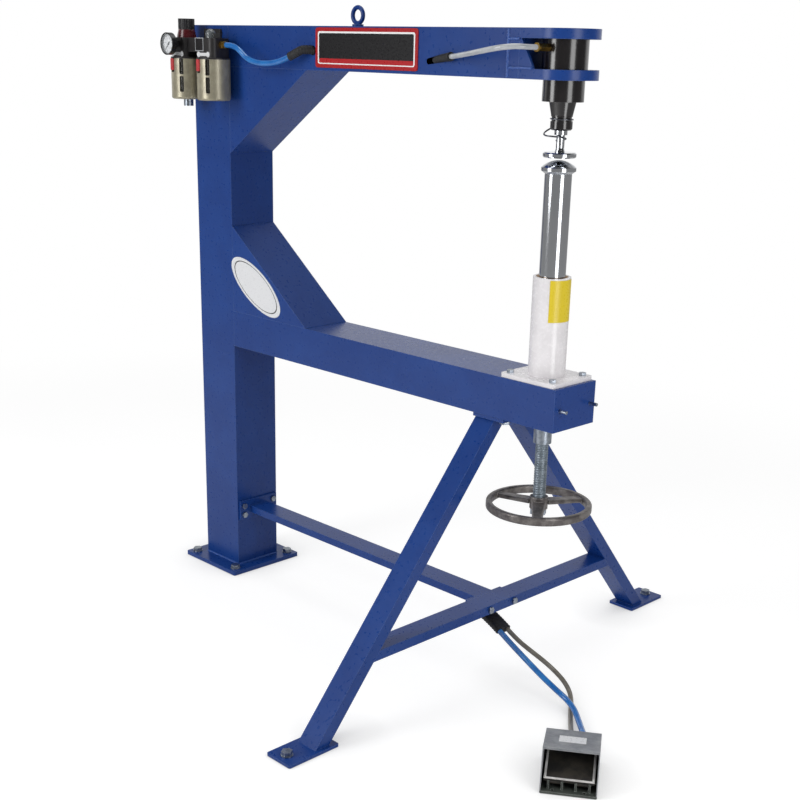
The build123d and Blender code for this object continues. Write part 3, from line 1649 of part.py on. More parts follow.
# Pedal hoses: out of the sleeve under the stretcher, over the floor and into the valve
port_end = pedal_length / 2 + valve_port_proud
supply_start = Vector(*stand_sleeve_end) - stand_across * (pedal_hose_pitch / 2)
supply_points = [
    tuple(supply_start),
    tuple(supply_start + stand_way * supply_lead),
    (1003, -39.5, 76),
    (1046, -39.5, 55),
    (1082, -36, 36.5),
    (1112, -34.5, 24),
    (1140, -46, 18),
    (1168, -69, 15),
    (1196, -95, 16),
    (1221, -119.5, 21),
    pedal_point(supply_entry, port_end + pedal_hose_lead, hose_entry_height),
    pedal_point(supply_entry, port_end, hose_entry_height),
]
pedal_hose_blue = hose("pedal_hose_blue", supply_points, pedal_supply_bore)
save("pedal_hose_blue", pedal_hose_blue)

return_start = Vector(*stand_sleeve_end) + stand_across * (pedal_hose_pitch / 2)
return_points = [
    tuple(return_start),
    tuple(return_start + stand_way * return_lead),
    (985, -9, 83),
    (1014, 3, 65),
    (1039, 14, 45.5),
    (1062, 18.5, 28),
    (1084, 11, 14.5),
    (1103, -8, 7.5),
    (1122, -33.5, 5.2),
    (1145, -63, 5.4),
    (1168, -92, 7.5),
    (1193, -122, 14.5),
    pedal_point(return_entry, port_end + pedal_hose_lead, hose_entry_height),
    pedal_point(return_entry, port_end, hose_entry_height),
]
pedal_hose_grey = hose("pedal_hose_grey", return_points, pedal_return_bore)
save("pedal_hose_grey", pedal_hose_grey)

# Blank plates: badge on the arm, and the smaller labels
with BuildPart() as badge_plate:
    with BuildSketch(near_side):
        with Locations((badge_middle_x, badge_middle_z)):
            RectangleRounded(badge_length, badge_height, badge_corner)
    extrude(amount=badge_thickness)
save("badge_plate", badge_plate)

hood_slope = Vector(
    0, 0, pedal_back_height - pedal_lip_height
) + pedal_back * (pedal_length - pedal_lip_setback)
hood_middle = pedal_point(0, pedal_lip_setback / 2, (pedal_back_height + pedal_lip_height) / 2)
with BuildPart() as blank_labels:
    with BuildSketch(near_side):
        with Locations(Location((oval_x, oval_z), oval_tilt)):
            Ellipse(oval_length / 2, oval_height / 2)
    extrude(amount=label_thickness)
    with BuildSketch(Plane.XY.offset(patch_bottom)):
        with BuildLine():
            radius = guide_tube_diameter / 2 + label_gap
            first = patch_angle - patch_arc / 2
            inner = CenterArc((post_x, 0), radius, first, patch_arc)
            outer = CenterArc((post_x, 0), radius + label_thickness, first, patch_arc)
            Line(inner @ 0, outer @ 0)
            Line(inner @ 1, outer @ 1)
        make_face()
    extrude(amount=patch_height)
    with BuildSketch(Plane.XZ.offset(regulator_face)):
        with Locations((maker_plate_x, air_body_top - maker_plate_height / 2)):
            Rectangle(maker_plate_width, maker_plate_height)
    extrude(amount=label_thickness)
    with BuildSketch(Plane.XZ.offset(regulator_face)):
        for x in (regulator_x, lubricator_x):
            with Locations((x, strip_height)):
                Rectangle(strip_length - strip_end, strip_waist)
            with Locations(
                (x - (strip_length - strip_end) / 2, strip_height),
                (x + (strip_length - strip_end) / 2, strip_height),
            ):
                Circle(strip_end / 2)
    extrude(amount=label_thickness)
    with BuildSketch(
        Plane(origin=hood_middle, x_dir=pedal_across, z_dir=pedal_across.cross(hood_slope))
    ):
        Rectangle(hood_label_length, hood_label_width)
    extrude(amount=label_thickness)
save("blank_labels", blank_labels)
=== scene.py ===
"""The looks of a pneumatic planishing hammer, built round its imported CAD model.

Lengths are given in millimetres and turned to metres where a mesh or a node takes them.
"""

import math

import bpy
import numpy as np
from mathutils import Matrix, Vector


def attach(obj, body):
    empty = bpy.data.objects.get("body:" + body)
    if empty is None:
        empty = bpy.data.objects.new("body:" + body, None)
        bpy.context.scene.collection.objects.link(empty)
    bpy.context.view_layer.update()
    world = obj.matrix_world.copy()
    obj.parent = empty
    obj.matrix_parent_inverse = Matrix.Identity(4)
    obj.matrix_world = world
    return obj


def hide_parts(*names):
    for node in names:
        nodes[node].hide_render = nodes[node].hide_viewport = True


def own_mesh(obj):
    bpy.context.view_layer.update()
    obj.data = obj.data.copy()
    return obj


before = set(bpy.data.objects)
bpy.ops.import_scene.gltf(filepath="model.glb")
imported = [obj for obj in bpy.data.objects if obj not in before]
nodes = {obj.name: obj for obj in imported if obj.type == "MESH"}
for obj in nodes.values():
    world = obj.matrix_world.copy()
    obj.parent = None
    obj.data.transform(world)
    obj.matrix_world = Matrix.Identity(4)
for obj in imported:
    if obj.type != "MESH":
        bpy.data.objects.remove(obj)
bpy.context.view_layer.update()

MM = 0.001
POST_X = 980.0
HALF_WIDTH = 62.5


# Helpers for meshes
def placed(name, mesh, body, finish, stands_for=()):
    """A mesh becomes a piece that rides on a body, wears a finish and may stand for CAD nodes."""
    piece = bpy.data.objects.new(name, mesh)
    bpy.context.scene.collection.objects.link(piece)
    mesh.materials.append(finish)
    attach(piece, body)
    if stands_for:
        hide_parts(*stands_for)
    return piece


def grid_faces(rows, columns, round_rows=False, round_columns=False):
    """The four-sided faces of a grid of points, closed on itself where asked."""
    index = np.arange(rows * columns).reshape(rows, columns)
    if round_rows:
        index = np.concatenate([index, index[:1]], axis=0)
    if round_columns:
        index = np.concatenate([index, index[:, :1]], axis=1)
    corners = [index[:-1, :-1], index[:-1, 1:], index[1:, 1:], index[1:, :-1]]
    return np.stack(corners, axis=-1).reshape(-1, 4)


def shell(name, sheets, sharp=35.0, turn=False):
    """A mesh of one or more grids of points in millimetres.

    Each sheet is (points, round_rows, round_columns, caps): caps closes the first and last row
    with one face each. Faces point outwards when rows run along the piece and columns run
    anticlockwise round it, seen from its end.
    """
    points, faces, start = [], [], 0
    for grid, round_rows, round_columns, caps in sheets:
        rows, columns = grid.shape[:2]
        found = grid_faces(rows, columns, round_rows, round_columns) + start
        faces.extend(found.tolist())
        if caps:
            faces.append((start + np.arange(columns)[::-1]).tolist())
            faces.append((start + (rows - 1) * columns + np.arange(columns)).tolist())
        points.append(grid.reshape(-1, 3))
        start += rows * columns
    mesh = bpy.data.meshes.new(name)
    mesh.from_pydata((np.concatenate(points) * MM).tolist(), [], faces)
    if turn:
        mesh.flip_normals()
    mesh.polygons.foreach_set("use_smooth", np.ones(len(mesh.polygons), bool))
    mesh.set_sharp_from_angle(angle=math.radians(sharp))
    mesh.update()
    return mesh


def turned(profile, centre, axis=(0, 0, 1), steps=72):
    """A profile of (radius, height) pairs turned round an axis.

    A point is centre + height * axis + radius * (cos a * side + sin a * other), for the angle a
    of its column.
    """
    axis = np.array(axis, float)
    side = np.cross((0.0, 1.0, 0.0) if abs(axis[1]) < 0.9 else (1.0, 0.0, 0.0), axis)
    side /= np.linalg.norm(side)
    other = np.cross(axis, side)
    radius, height = np.array(profile, float).T
    angle = np.linspace(0, 2 * np.pi, steps, endpoint=False)
    ring = np.cos(angle)[:, None] * side + np.sin(angle)[:, None] * other
    return (
        np.array(centre, float)
        + height[:, None, None] * axis
        + radius[:, None, None] * ring[None]
    )


def tube(path, radius, sides=16, squareness=1.0):
    """A tube along a path: each row is point + radius * (c * normal + s * across).

    The tangent is the difference of the neighbouring points. The normal is the part of a fixed
    direction that is square to the tangent, and that direction is the one that the path leans
    least towards. c and s are the cosine and sine of the column's angle, raised to the power
    of squareness with their signs kept. radius is one number, one number for each place, or a
    pair for each place of a flattened tube.
    """
    path = np.array(path, float)
    tangent = np.gradient(path, axis=0)
    tangent /= np.linalg.norm(tangent, axis=1)[:, None]
    fixed = np.eye(3)[np.argmin(np.abs(tangent).max(axis=0))]
    normal = fixed - (tangent @ fixed)[:, None] * tangent
    normal /= np.linalg.norm(normal, axis=1)[:, None]
    across = np.cross(tangent, normal)
    angle = np.linspace(0, 2 * np.pi, sides, endpoint=False)
    wave = np.stack([np.cos(angle), np.sin(angle)])
    wave = np.sign(wave) * np.abs(wave) ** squareness
    if np.ndim(radius) < 2:
        radius = np.ones((len(path), 1)) * np.reshape(radius, (-1, 1))
    first, second = radius[:, 0], radius[:, -1]
    return (
        path[:, None]
        + first[:, None, None] * wave[0][None, :, None] * normal[:, None]
        + second[:, None, None] * wave[1][None, :, None] * across[:, None]
    )


def spaced(points, step):
    """Places at an even distance along straight runs, each run shared out by its length."""
    points = np.array(points, float)
    reach = np.append(0, np.cumsum(np.linalg.norm(np.diff(points, axis=0), axis=1)))
    marks = np.linspace(0, reach[-1], int(reach[-1] / step) + 2)
    return np.stack([np.interp(marks, reach, axis) for axis in points.T], axis=1)


def eased(points, rows):
    """A smooth line through a few places: a quadratic curve on each three neighbours.

    With the halfway points between the inner places, the line on a stretch is
    (1 - t)^2 * start + 2 * t * (1 - t) * place + t^2 * end.
    """
    points = np.array(points, float)
    halves = (points[1:-2] + points[2:-1]) / 2
    starts = np.concatenate([points[:1], halves])[:, None]
    ends = np.concatenate([halves, points[-1:]])[:, None]
    t = np.linspace(0, 1, rows)[None, :, None]
    line = (1 - t) ** 2 * starts + 2 * t * (1 - t) * points[1:-1, None] + t**2 * ends
    line = line.reshape(-1, 3)
    return line[np.append(True, np.linalg.norm(np.diff(line, axis=0), axis=1) > 1e-6)]


def ramp(low, high, t):
    """Rises smoothly from 0 at low to 1 at high: s * s * (3 - 2 * s) for the share s between them."""
    share = np.clip((t - low) / (high - low), 0, 1)
    return share * share * (3 - 2 * share)


# Camera
CAMERA_TURNS = (45.0683, 19.1363, 1.3187)
CAMERA_SPOT = (2534.4968, -1947.6893, 1271.3671)
SENSOR, FOCAL_PIXELS, PICTURE_PIXELS, SHIFT_UP = 36.0, 1294.856, 800, 0.121


def set_camera():
    """Azimuth turns it about +Z from looking along +Y, elevation looks down, roll turns the view."""
    azimuth, elevation, roll = (math.radians(a) for a in CAMERA_TURNS)
    ahead = Vector(
        (
            -math.sin(azimuth) * math.cos(elevation),
            math.cos(azimuth) * math.cos(elevation),
            -math.sin(elevation),
        )
    )
    right = Vector((math.cos(azimuth), math.sin(azimuth), 0))
    up = right.cross(ahead)
    level = right * math.cos(roll) + up * math.sin(roll)
    upright = up * math.cos(roll) - right * math.sin(roll)
    lens = bpy.data.cameras.new("camera")
    lens.sensor_width = SENSOR
    lens.lens = FOCAL_PIXELS * SENSOR / PICTURE_PIXELS
    lens.shift_y = SHIFT_UP
    lens.clip_start = 0.05
    lens.clip_end = 100
    camera = bpy.data.objects.new("camera", lens)
    bpy.context.scene.collection.objects.link(camera)
    camera.matrix_world = Matrix.LocRotScale(
        Vector(CAMERA_SPOT) * MM,
        Matrix((level, upright, -ahead)).transposed().to_quaternion(),
        None,
    )
    bpy.context.scene.camera = camera


set_camera()


# Helpers for finishes
def linear(colour):
    """sRGB hex to linear light: c / 12.92 up to 0.04045 and ((c + 0.055) / 1.055) ** 2.4 above."""
    shares = [int(colour[i : i + 2], 16) / 255 for i in (1, 3, 5)]
    return [c / 12.92 if c <= 0.04045 else ((c + 0.055) / 1.055) ** 2.4 for c in shares] + [1.0]


def add(tree, kind, inputs=(), **settings):
    """Adds one node: its settings, then each input by name or number, as a value or a link."""
    node = tree.nodes.new(kind)
    for name, value in settings.items():
        setattr(node, name, value)
    for name, value in dict(inputs).items():
        if isinstance(value, bpy.types.NodeSocket):
            tree.links.new(value, node.inputs[name])
        else:
            node.inputs[name].default_value = value
    return node


# How the patches and the grain of a noise are spread, and where a pale edge, a painted
# highlight with some wear, begins and is full: the last two are cosines between a surface's own
# direction and its rounded-off one.
PATCH_BLEND = (0.35, 0.68)
GRAIN_SPAN = (0.3, 0.7)
GLINT_AND_WEAR_FROM, GLINT_AND_WEAR_TO, GLINT_AND_WEAR_MOST = 0.995, 0.8, 0.75


def surface(
    name,
    colour,
    second,
    patch,
    rough,
    grain,
    height,
    metallic=0.0,
    edge=None,
    edge_radius=1.2,
    coat=0.0,
    ior=1.5,
):
    """A finish with a main and a second colour in soft patches, and a fine grain.

    patch and grain are the sizes of the patches and of the grain in millimetres, height is how
    far the grain stands proud in millimetres, rough is the least and most roughness, and edge is
    the colour of pale edges, a painted highlight along them with some wear, found where the
    rounded-off direction of the surface leaves its own.
    """
    material = bpy.data.materials.new(name)
    material.use_nodes = True
    tree = material.node_tree
    tree.nodes.clear()
    place = add(tree, "ShaderNodeTexCoord").outputs["Object"]
    patches = add(
        tree,
        "ShaderNodeTexNoise",
        {"Vector": place, "Scale": 1 / (patch * MM), "Detail": 4.0, "Roughness": 0.6},
    ).outputs["Fac"]
    mixed = add(
        tree,
        "ShaderNodeMapRange",
        {"Value": patches, "From Min": PATCH_BLEND[0], "From Max": PATCH_BLEND[1]},
        interpolation_type="SMOOTHSTEP",
    ).outputs["Result"]
    body = add(
        tree,
        "ShaderNodeMix",
        {0: mixed, 6: linear(colour), 7: linear(second)},
        data_type="RGBA",
    ).outputs[2]
    fine = add(
        tree,
        "ShaderNodeTexNoise",
        {"Vector": place, "Scale": 1 / (grain * MM), "Detail": 3.0},
    ).outputs["Fac"]
    gloss = add(
        tree,
        "ShaderNodeMapRange",
        {
            "Value": fine,
            "From Min": GRAIN_SPAN[0],
            "From Max": GRAIN_SPAN[1],
            "To Min": rough[0],
            "To Max": rough[1],
        },
    ).outputs["Result"]
    rounded = add(
        tree, "ShaderNodeBevel", {"Radius": edge_radius * MM}, samples=4
    ).outputs["Normal"]
    bumped = add(
        tree,
        "ShaderNodeBump",
        {"Height": fine, "Distance": height * MM, "Strength": 1.0, "Normal": rounded},
    ).outputs["Normal"]
    # Pale edges: a painted highlight along every edge, with some wear.
    if edge:
        own = add(tree, "ShaderNodeNewGeometry").outputs["Normal"]
        agree = add(
            tree, "ShaderNodeVectorMath", {0: own, 1: rounded}, operation="DOT_PRODUCT"
        ).outputs["Value"]
        glint_and_wear = add(
            tree,
            "ShaderNodeMapRange",
            {"Value": agree, "From Min": GLINT_AND_WEAR_FROM, "From Max": GLINT_AND_WEAR_TO, "To Max": GLINT_AND_WEAR_MOST},
        ).outputs["Result"]
        body = add(
            tree, "ShaderNodeMix", {0: glint_and_wear, 6: body, 7: linear(edge)}, data_type="RGBA"
        ).outputs[2]
    shader = add(
        tree,
        "ShaderNodeBsdfPrincipled",
        {
            "Base Color": body,
            "Metallic": metallic,
            "Roughness": gloss,
            "Normal": bumped,
            "Coat Weight": coat,
            "Coat Roughness": 0.08,
            "IOR": ior,
        },
    )
    add(tree, "ShaderNodeOutputMaterial", {"Surface": shader.outputs["BSDF"]})
    return material


# Finishes. An edge colour paints the edges paler: a painted highlight along them, with some wear.
# Stoving enamel sprayed over rolled steel: deep blue with a broad gloss, a faint orange peel and
# paler edges: a painted highlight along them, with some wear. The peel is drawn at 9 mm, since
# the real 2 mm wouldn't show.
blue_enamel = surface(
    "blue stoving enamel", "#153a80", "#1a4189", 140, (0.26, 0.34), 9, 0.003,
    edge="#4a68ac", edge_radius=2.0, ior=1.42,
)
# Gloss enamel on the guide tube: clean white with faint warm patches. The peel is drawn at 7 mm,
# since the real 2 mm wouldn't show.
white_enamel = surface(
    "white gloss enamel", "#efecee", "#e5e2e4", 60, (0.22, 0.3), 7, 0.015,
    edge="#f4f4f4", coat=0.3,
)
# Oxide-blacked and oiled steel of the hammer: near black with a faint brown cast, sharp streaks
# of light down its length, and paler rims: a painted highlight along them, with some wear.
black_oxide = surface(
    "oiled black oxide", "#120f11", "#1b1718", 30, (0.15, 0.2), 3, 0.002,
    edge="#6a686a", edge_radius=0.8, ior=1.75,
)
# Hard chrome, ground and polished: a mirror, very slightly softened by the grinding.
hard_chrome = surface(
    "ground hard chrome", "#d2d4d8", "#cccfd3", 60, (0.1, 0.13), 2, 0.0,
    metallic=1.0, edge_radius=0.6,
)
# Bright zinc plate on bolts and nuts: pale blue-grey metal, slightly cloudy.
zinc_plate = surface(
    "bright zinc plate", "#aab1ba", "#858e99", 9, (0.26, 0.42), 1.5, 0.01,
    metallic=1.0, edge="#e6e8ec", edge_radius=0.5,
)
# Rolled thread of the lifting screw: dull blue-grey, wiped with oil.
rolled_thread = surface(
    "oiled rolled thread", "#8b959e", "#6f7a83", 9, (0.4, 0.5), 1.5, 0.0, metallic=0.6,
)
# Drawn spring wire: dark grey steel with a light oil film.
spring_wire = surface(
    "drawn spring wire", "#84868c", "#5a5c62", 8, (0.25, 0.4), 1, 0.006, metallic=1.0,
)
# Cast iron wheel, fettled and turned bright on its rim, then greyed by hands and oil.
cast_iron = surface(
    "turned cast iron", "#605b5a", "#86817e", 18, (0.3, 0.5), 2, 0.05,
    metallic=0.6, edge="#cbc8c4", edge_radius=2.4,
)
# Sintered bronze bush: matt golden brown with fine pores.
sintered_bronze = surface(
    "sintered bronze", "#9c7440", "#7c5a30", 5, (0.4, 0.55), 0.8, 0.02, metallic=1.0,
)
# Turned brass fittings: warm yellow metal with dull patches from handling.
turned_brass = surface(
    "turned brass", "#c7a04e", "#9f7a34", 6, (0.22, 0.38), 1, 0.008,
    metallic=1.0, edge="#e8cf8e", edge_radius=0.4,
)
# Powder-coated die-cast zinc of the air unit's heads and bracket: black with a fine pebble.
powder_black = surface(
    "black powder coat", "#1b191a", "#262324", 14, (0.38, 0.5), 1.6, 0.05,
    edge="#57555a", edge_radius=0.8,
)
# Moulded nylon of the regulator's knob: black, fine spark-eroded grain.
nylon_black = surface(
    "grained black nylon", "#17171a", "#1f1f23", 12, (0.36, 0.48), 1.2, 0.04,
    edge="#4c4d52", edge_radius=0.6,
)
# Wine-red lacquer on the regulator's bonnet.
red_lacquer = surface(
    "wine red lacquer", "#4a0f16", "#5a151c", 12, (0.22, 0.34), 3, 0.01,
    edge="#8f4a4c", coat=0.4,
)
# Moulded acetal latches: clear signal red, slightly waxy.
red_acetal = surface(
    "red acetal", "#b0121e", "#c01a24", 8, (0.3, 0.4), 1, 0.01, edge="#e06a68",
    edge_radius=0.5,
)
# Olive-grey metallic paint on the drawn bowl guards.
guard_paint = surface(
    "olive metallic paint", "#9a9480", "#aca68f", 16, (0.3, 0.42), 1.2, 0.02,
    metallic=0.45, edge="#d9d6c8", edge_radius=0.9, coat=0.2,
)
# Moulded rubber of the hose sleeves: matt black with a grey bloom.
moulded_rubber = surface(
    "moulded black rubber", "#141416", "#222226", 10, (0.5, 0.66), 1.5, 0.03,
    edge="#38383c", edge_radius=1.0,
)
# Hammered enamel on the pedal's folded sheet: grey with shallow dimples, drawn at 5 mm.
hammered_grey = surface(
    "grey hammered enamel", "#74777c", "#898c90", 22, (0.3, 0.44), 5, 0.12,
    edge="#c6c8ca", edge_radius=1.8, coat=0.2,
)
# Dark hammered enamel on the pedal's base plate: green-grey with dimples drawn at 5 mm, and
# pale edges all round: a painted highlight along them, with some wear.
hammered_dark = surface(
    "dark hammered enamel", "#3a3f3b", "#494e49", 22, (0.32, 0.46), 5, 0.1,
    edge="#a9aeaa", edge_radius=1.4,
)
# Folded metal rim of the tread: pale all over, painted light that brightens it in the shade under the
# hood.
painted_light_rim = surface(
    "aluminium rim painted light", "#dcdad8", "#c4c2c0", 12, (0.35, 0.5), 1.2, 0.02, metallic=0.25,
)
# Moulded tread on the pedal's plate: black with a brown sheen where shoes rub it.
tread_rubber = surface(
    "rubbed black tread", "#1c1b1a", "#35312b", 26, (0.38, 0.55), 2, 0.04,
    edge="#4d4a45", edge_radius=0.8,
)
# Gauge case of polished black phenolic: a clean gloss.
case_black = surface(
    "black gauge case", "#141416", "#1c1c1f", 10, (0.24, 0.34), 2, 0.01,
    edge="#66686c", edge_radius=0.5, coat=0.3,
)
# Enamel on the gauge's needle: flat black.
needle_black = surface(
    "black needle enamel", "#101012", "#18181a", 5, (0.3, 0.4), 1, 0.0,
)
# Polyurethane hose: clear deep blue, glossy.
blue_polyurethane = surface(
    "blue polyurethane", "#1c63ae", "#2878c2", 30, (0.16, 0.26), 4, 0.01, coat=0.5,
)
# Grey hose on the return side.
grey_polyurethane = surface(
    "grey polyurethane", "#6b665e", "#7b766d", 30, (0.28, 0.4), 4, 0.01, coat=0.2,
)
# Clear vinyl hose, so thick-walled that it reads as a milky grey.
clear_vinyl = surface(
    "clear vinyl", "#b9bcc0", "#a5a9ae", 18, (0.12, 0.2), 3, 0.01, coat=0.6,
)


# The size of the haze's clouds in millimetres.
HAZE_SIZE = 11.1


def clear_moulding(name, colour, rough, alpha):
    """Clear moulded plastic: a tinted see-through body with a faint haze under a glossy skin."""
    material = bpy.data.materials.new(name)
    material.use_nodes = True
    tree = material.node_tree
    tree.nodes.clear()
    place = add(tree, "ShaderNodeTexCoord").outputs["Object"]
    haze = add(
        tree,
        "ShaderNodeTexNoise",
        {"Vector": place, "Scale": 1 / (HAZE_SIZE * MM), "Detail": 2.0},
    ).outputs["Fac"]
    gloss = add(
        tree,
        "ShaderNodeMapRange",
        {"Value": haze, "To Min": rough, "To Max": rough + 0.08},
    ).outputs["Result"]
    shader = add(
        tree,
        "ShaderNodeBsdfPrincipled",
        {
            "Base Color": linear(colour),
            "Roughness": gloss,
            "Alpha": alpha,
            "IOR": 1.58,
            "Coat Weight": 0.5,
        },
    )
    add(tree, "ShaderNodeOutputMaterial", {"Surface": shader.outputs["BSDF"]})
    return material


# Polycarbonate of the bowls, the dome and the gauge's lens: smoked brown, clear grey, and clear.
clear_bowl = clear_moulding("smoked polycarbonate bowl", "#3a3934", 0.1, 0.8)
clear_dome = clear_moulding("clear polycarbonate dome", "#7d8386", 0.06, 0.6)
clear_lens = clear_moulding("clear gauge lens", "#eef4f6", 0.02, 0.1)


# Labels are told apart in x and z alone: this reach in y, in metres, takes in every label.
ANY_DEPTH = 1.0


def inside(tree, place, middle, half, corner):
    """How far a point lies outside a rounded box in x and z, in metres, negative inside.

    It is the length of the part of (|p| - half + corner) above zero, less the corner, for the
    point p counted from the middle.
    """
    moved = add(
        tree, "ShaderNodeMapping", {"Vector": place, "Location": [-c * MM for c in middle]}
    ).outputs["Vector"]
    size = add(
        tree, "ShaderNodeVectorMath", {0: moved}, operation="ABSOLUTE"
    ).outputs["Vector"]
    limit = [(half[0] - corner) * MM, ANY_DEPTH, (half[1] - corner) * MM]
    over = add(
        tree, "ShaderNodeVectorMath", {0: size, 1: limit}, operation="SUBTRACT"
    ).outputs["Vector"]
    kept = add(
        tree, "ShaderNodeVectorMath", {0: over, 1: (0, 0, 0)}, operation="MAXIMUM"
    ).outputs["Vector"]
    length = add(tree, "ShaderNodeVectorMath", {0: kept}, operation="LENGTH").outputs["Value"]
    return add(
        tree, "ShaderNodeMath", {0: length, 1: corner * MM}, operation="SUBTRACT"
    ).outputs["Value"]


def printed(name, ground, layers):
    """A plain printed plate or film with a satin skin.

    Each layer is (distance, paint): distance adds nodes to a tree and gives a socket, and the
    paint covers the ground where that is negative.
    """
    material = surface(name, ground, ground, 20, (0.25, 0.35), 4, 0.0)
    tree = material.node_tree
    place = add(tree, "ShaderNodeTexCoord").outputs["Object"]
    shader = next(n for n in tree.nodes if n.type == "BSDF_PRINCIPLED")
    colour = shader.inputs["Base Color"].links[0].from_socket
    for distance, paint in layers:
        cover = add(
            tree, "ShaderNodeMath", {0: distance(tree, place), 1: 0.0}, operation="LESS_THAN"
        ).outputs["Value"]
        colour = add(
            tree, "ShaderNodeMix", {0: cover, 6: colour, 7: linear(paint)}, data_type="RGBA"
        ).outputs[2]
    tree.links.new(colour, shader.inputs["Base Color"])
    return material


def block(middle, half, corner):
    """A layer's distance to a rounded box, with its places in millimetres."""
    return lambda tree, place: inside(tree, place, middle, half, corner)


BADGE_MIDDLE = (516.5, 0, 1267.5)
BADGE_FOOT = (516.5, 0, 1242)
# Screen-printed aluminium plate with nothing on it: red rim, white line, black field, red foot.
badge_print = printed(
    "blank printed badge",
    "#a8141a",
    [
        (block(BADGE_MIDDLE, (143.0, 32.0), 5), "#f1f1f1"),
        (block(BADGE_MIDDLE, (139.5, 28.5), 4), "#141316"),
        (block(BADGE_FOOT, (139.5, 4.5), 3), "#b01a20"),
    ],
)
OVAL_MIDDLE, OVAL_HALF, OVAL_TILT = (151.0, 0.0, 734.5), (101.0, 42.0), 149.5
OVAL_LINE, OVAL_LINE_HALF = 0.86, 0.016


def oval_line(tree, place):
    """Below zero on a thin line that runs round the oval at a set share of its size.

    It is | length of (p / half) - share | - half of the line, for p counted from the oval's
    middle along its own axes.
    """
    moved = add(
        tree, "ShaderNodeMapping", {"Vector": place, "Location": [-c * MM for c in OVAL_MIDDLE]}
    ).outputs["Vector"]
    level = add(
        tree, "ShaderNodeVectorRotate", {"Vector": moved, "Angle": math.radians(OVAL_TILT)},
        rotation_type="Y_AXIS",
    ).outputs["Vector"]
    share = add(
        tree, "ShaderNodeVectorMath",
        {0: level, 1: (1 / (OVAL_HALF[0] * MM), 0.0, 1 / (OVAL_HALF[1] * MM))},
        operation="MULTIPLY",
    ).outputs["Vector"]
    away = add(tree, "ShaderNodeVectorMath", {0: share}, operation="LENGTH").outputs["Value"]
    off = add(
        tree, "ShaderNodeMath", {0: away, 1: OVAL_LINE}, operation="SUBTRACT"
    ).outputs["Value"]
    apart = add(tree, "ShaderNodeMath", {0: off}, operation="ABSOLUTE").outputs["Value"]
    return add(
        tree, "ShaderNodeMath", {0: apart, 1: OVAL_LINE_HALF}, operation="SUBTRACT"
    ).outputs["Value"]


TUBE_LABEL_MIDDLE = (1010, 0, 822)
HEAD_LABEL_MIDDLE = (50, 0, 1268)
# Vinyl film labels with nothing on them: white, one yellow, one dark with a silver rim, a painted
# highlight round its edge.
label_print = printed(
    "blank film labels",
    "#e4e5e7",
    [
        (block(TUBE_LABEL_MIDDLE, (40.0, 60.0), 1), "#e2c92c"),
        (oval_line, "#26262a"),
        # Painted highlight: a silver rim round the dark label.
        (block(HEAD_LABEL_MIDDLE, (16.0, 15.0), 1), "#b4b7bb"),
        (block(HEAD_LABEL_MIDDLE, (13.6, 12.6), 1), "#1b191b"),
    ],
)

CAD_FINISHES = (
    (blue_enamel, "column base_plate upper_arm lower_arm gussets bracket_plates lifting_eye"),
    (blue_enamel, "saddle_plate leg_near leg_far stretcher brace"),
    (white_enamel, "guide_tube"),
    (black_oxide, "hammer_barrel hammer_back_head hammer_nose"),
    (hard_chrome, "post anvil_cap upper_die"),
    (zinc_plate, "anchor_bolts frame_bolts screw_nut thrust_bearing wheel_nut hammer_piston"),
    (zinc_plate, "drain_cock valve_plunger lift_screw"),
    (spring_wire, "retainer_spring treadle_spring"),
    (cast_iron, "handwheel"),
    (sintered_bronze, "guide_bush"),
    (turned_brass, "inlet_fitting outlet_fitting"),
    (powder_black, "regulator_body lubricator_body pedal_valve unit_bracket"),
    (nylon_black, "regulator_knob filler_plug"),
    (red_lacquer, "regulator_bonnet"),
    (red_acetal, "filter_latch lubricator_latch"),
    (guard_paint, "bowl_guards"),
    (case_black, "gauge_case"),
    (needle_black, "gauge_needle"),
    (moulded_rubber, "hose_sleeves"),
    (hammered_grey, "pedal_guard"),
    (hammered_dark, "pedal_base treadle_pin"),
    (tread_rubber, "treadle"),
    (badge_print, "badge_plate"),
    (label_print, "blank_labels"),
    (clear_bowl, "inner_bowls"),
    (clear_dome, "sight_dome"),
    (clear_lens, "gauge_lens"),
)
for finish, names in CAD_FINISHES:
    for node in names.split():
        nodes[node].data.materials.clear()
        nodes[node].data.materials.append(finish)


# Hoses: smooth lines through the same places as the CAD tubes
PEDAL_X, PEDAL_Y, PEDAL_TURN = 1278.0, -232.0, math.radians(35)


def pedal_place(x, y, z):
    """A place in the pedal's own frame, turned about +Z and then moved to the pedal's spot."""
    c, s = math.cos(PEDAL_TURN), math.sin(PEDAL_TURN)
    return (PEDAL_X + c * x - s * y, PEDAL_Y + s * x + c * y, z)


def hose(name, points, diameter, finish, body, stands_for):
    """A round hose on a NURBS line with these points."""
    line = bpy.data.curves.new(name, "CURVE")
    line.dimensions = "3D"
    spline = line.splines.new("NURBS")
    spline.points.add(len(points) - 1)
    for point, spot in zip(spline.points, points):
        point.co = (*[c * MM for c in spot], 1.0)
    spline.order_u = 3
    spline.use_endpoint_u = True
    spline.resolution_u = 12
    line.bevel_depth = diameter / 2 * MM
    line.bevel_resolution = 6
    line.use_fill_caps = True
    line.materials.append(finish)
    piece = bpy.data.objects.new(name, line)
    bpy.context.scene.collection.objects.link(piece)
    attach(piece, body)
    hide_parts(stands_for)
    return piece


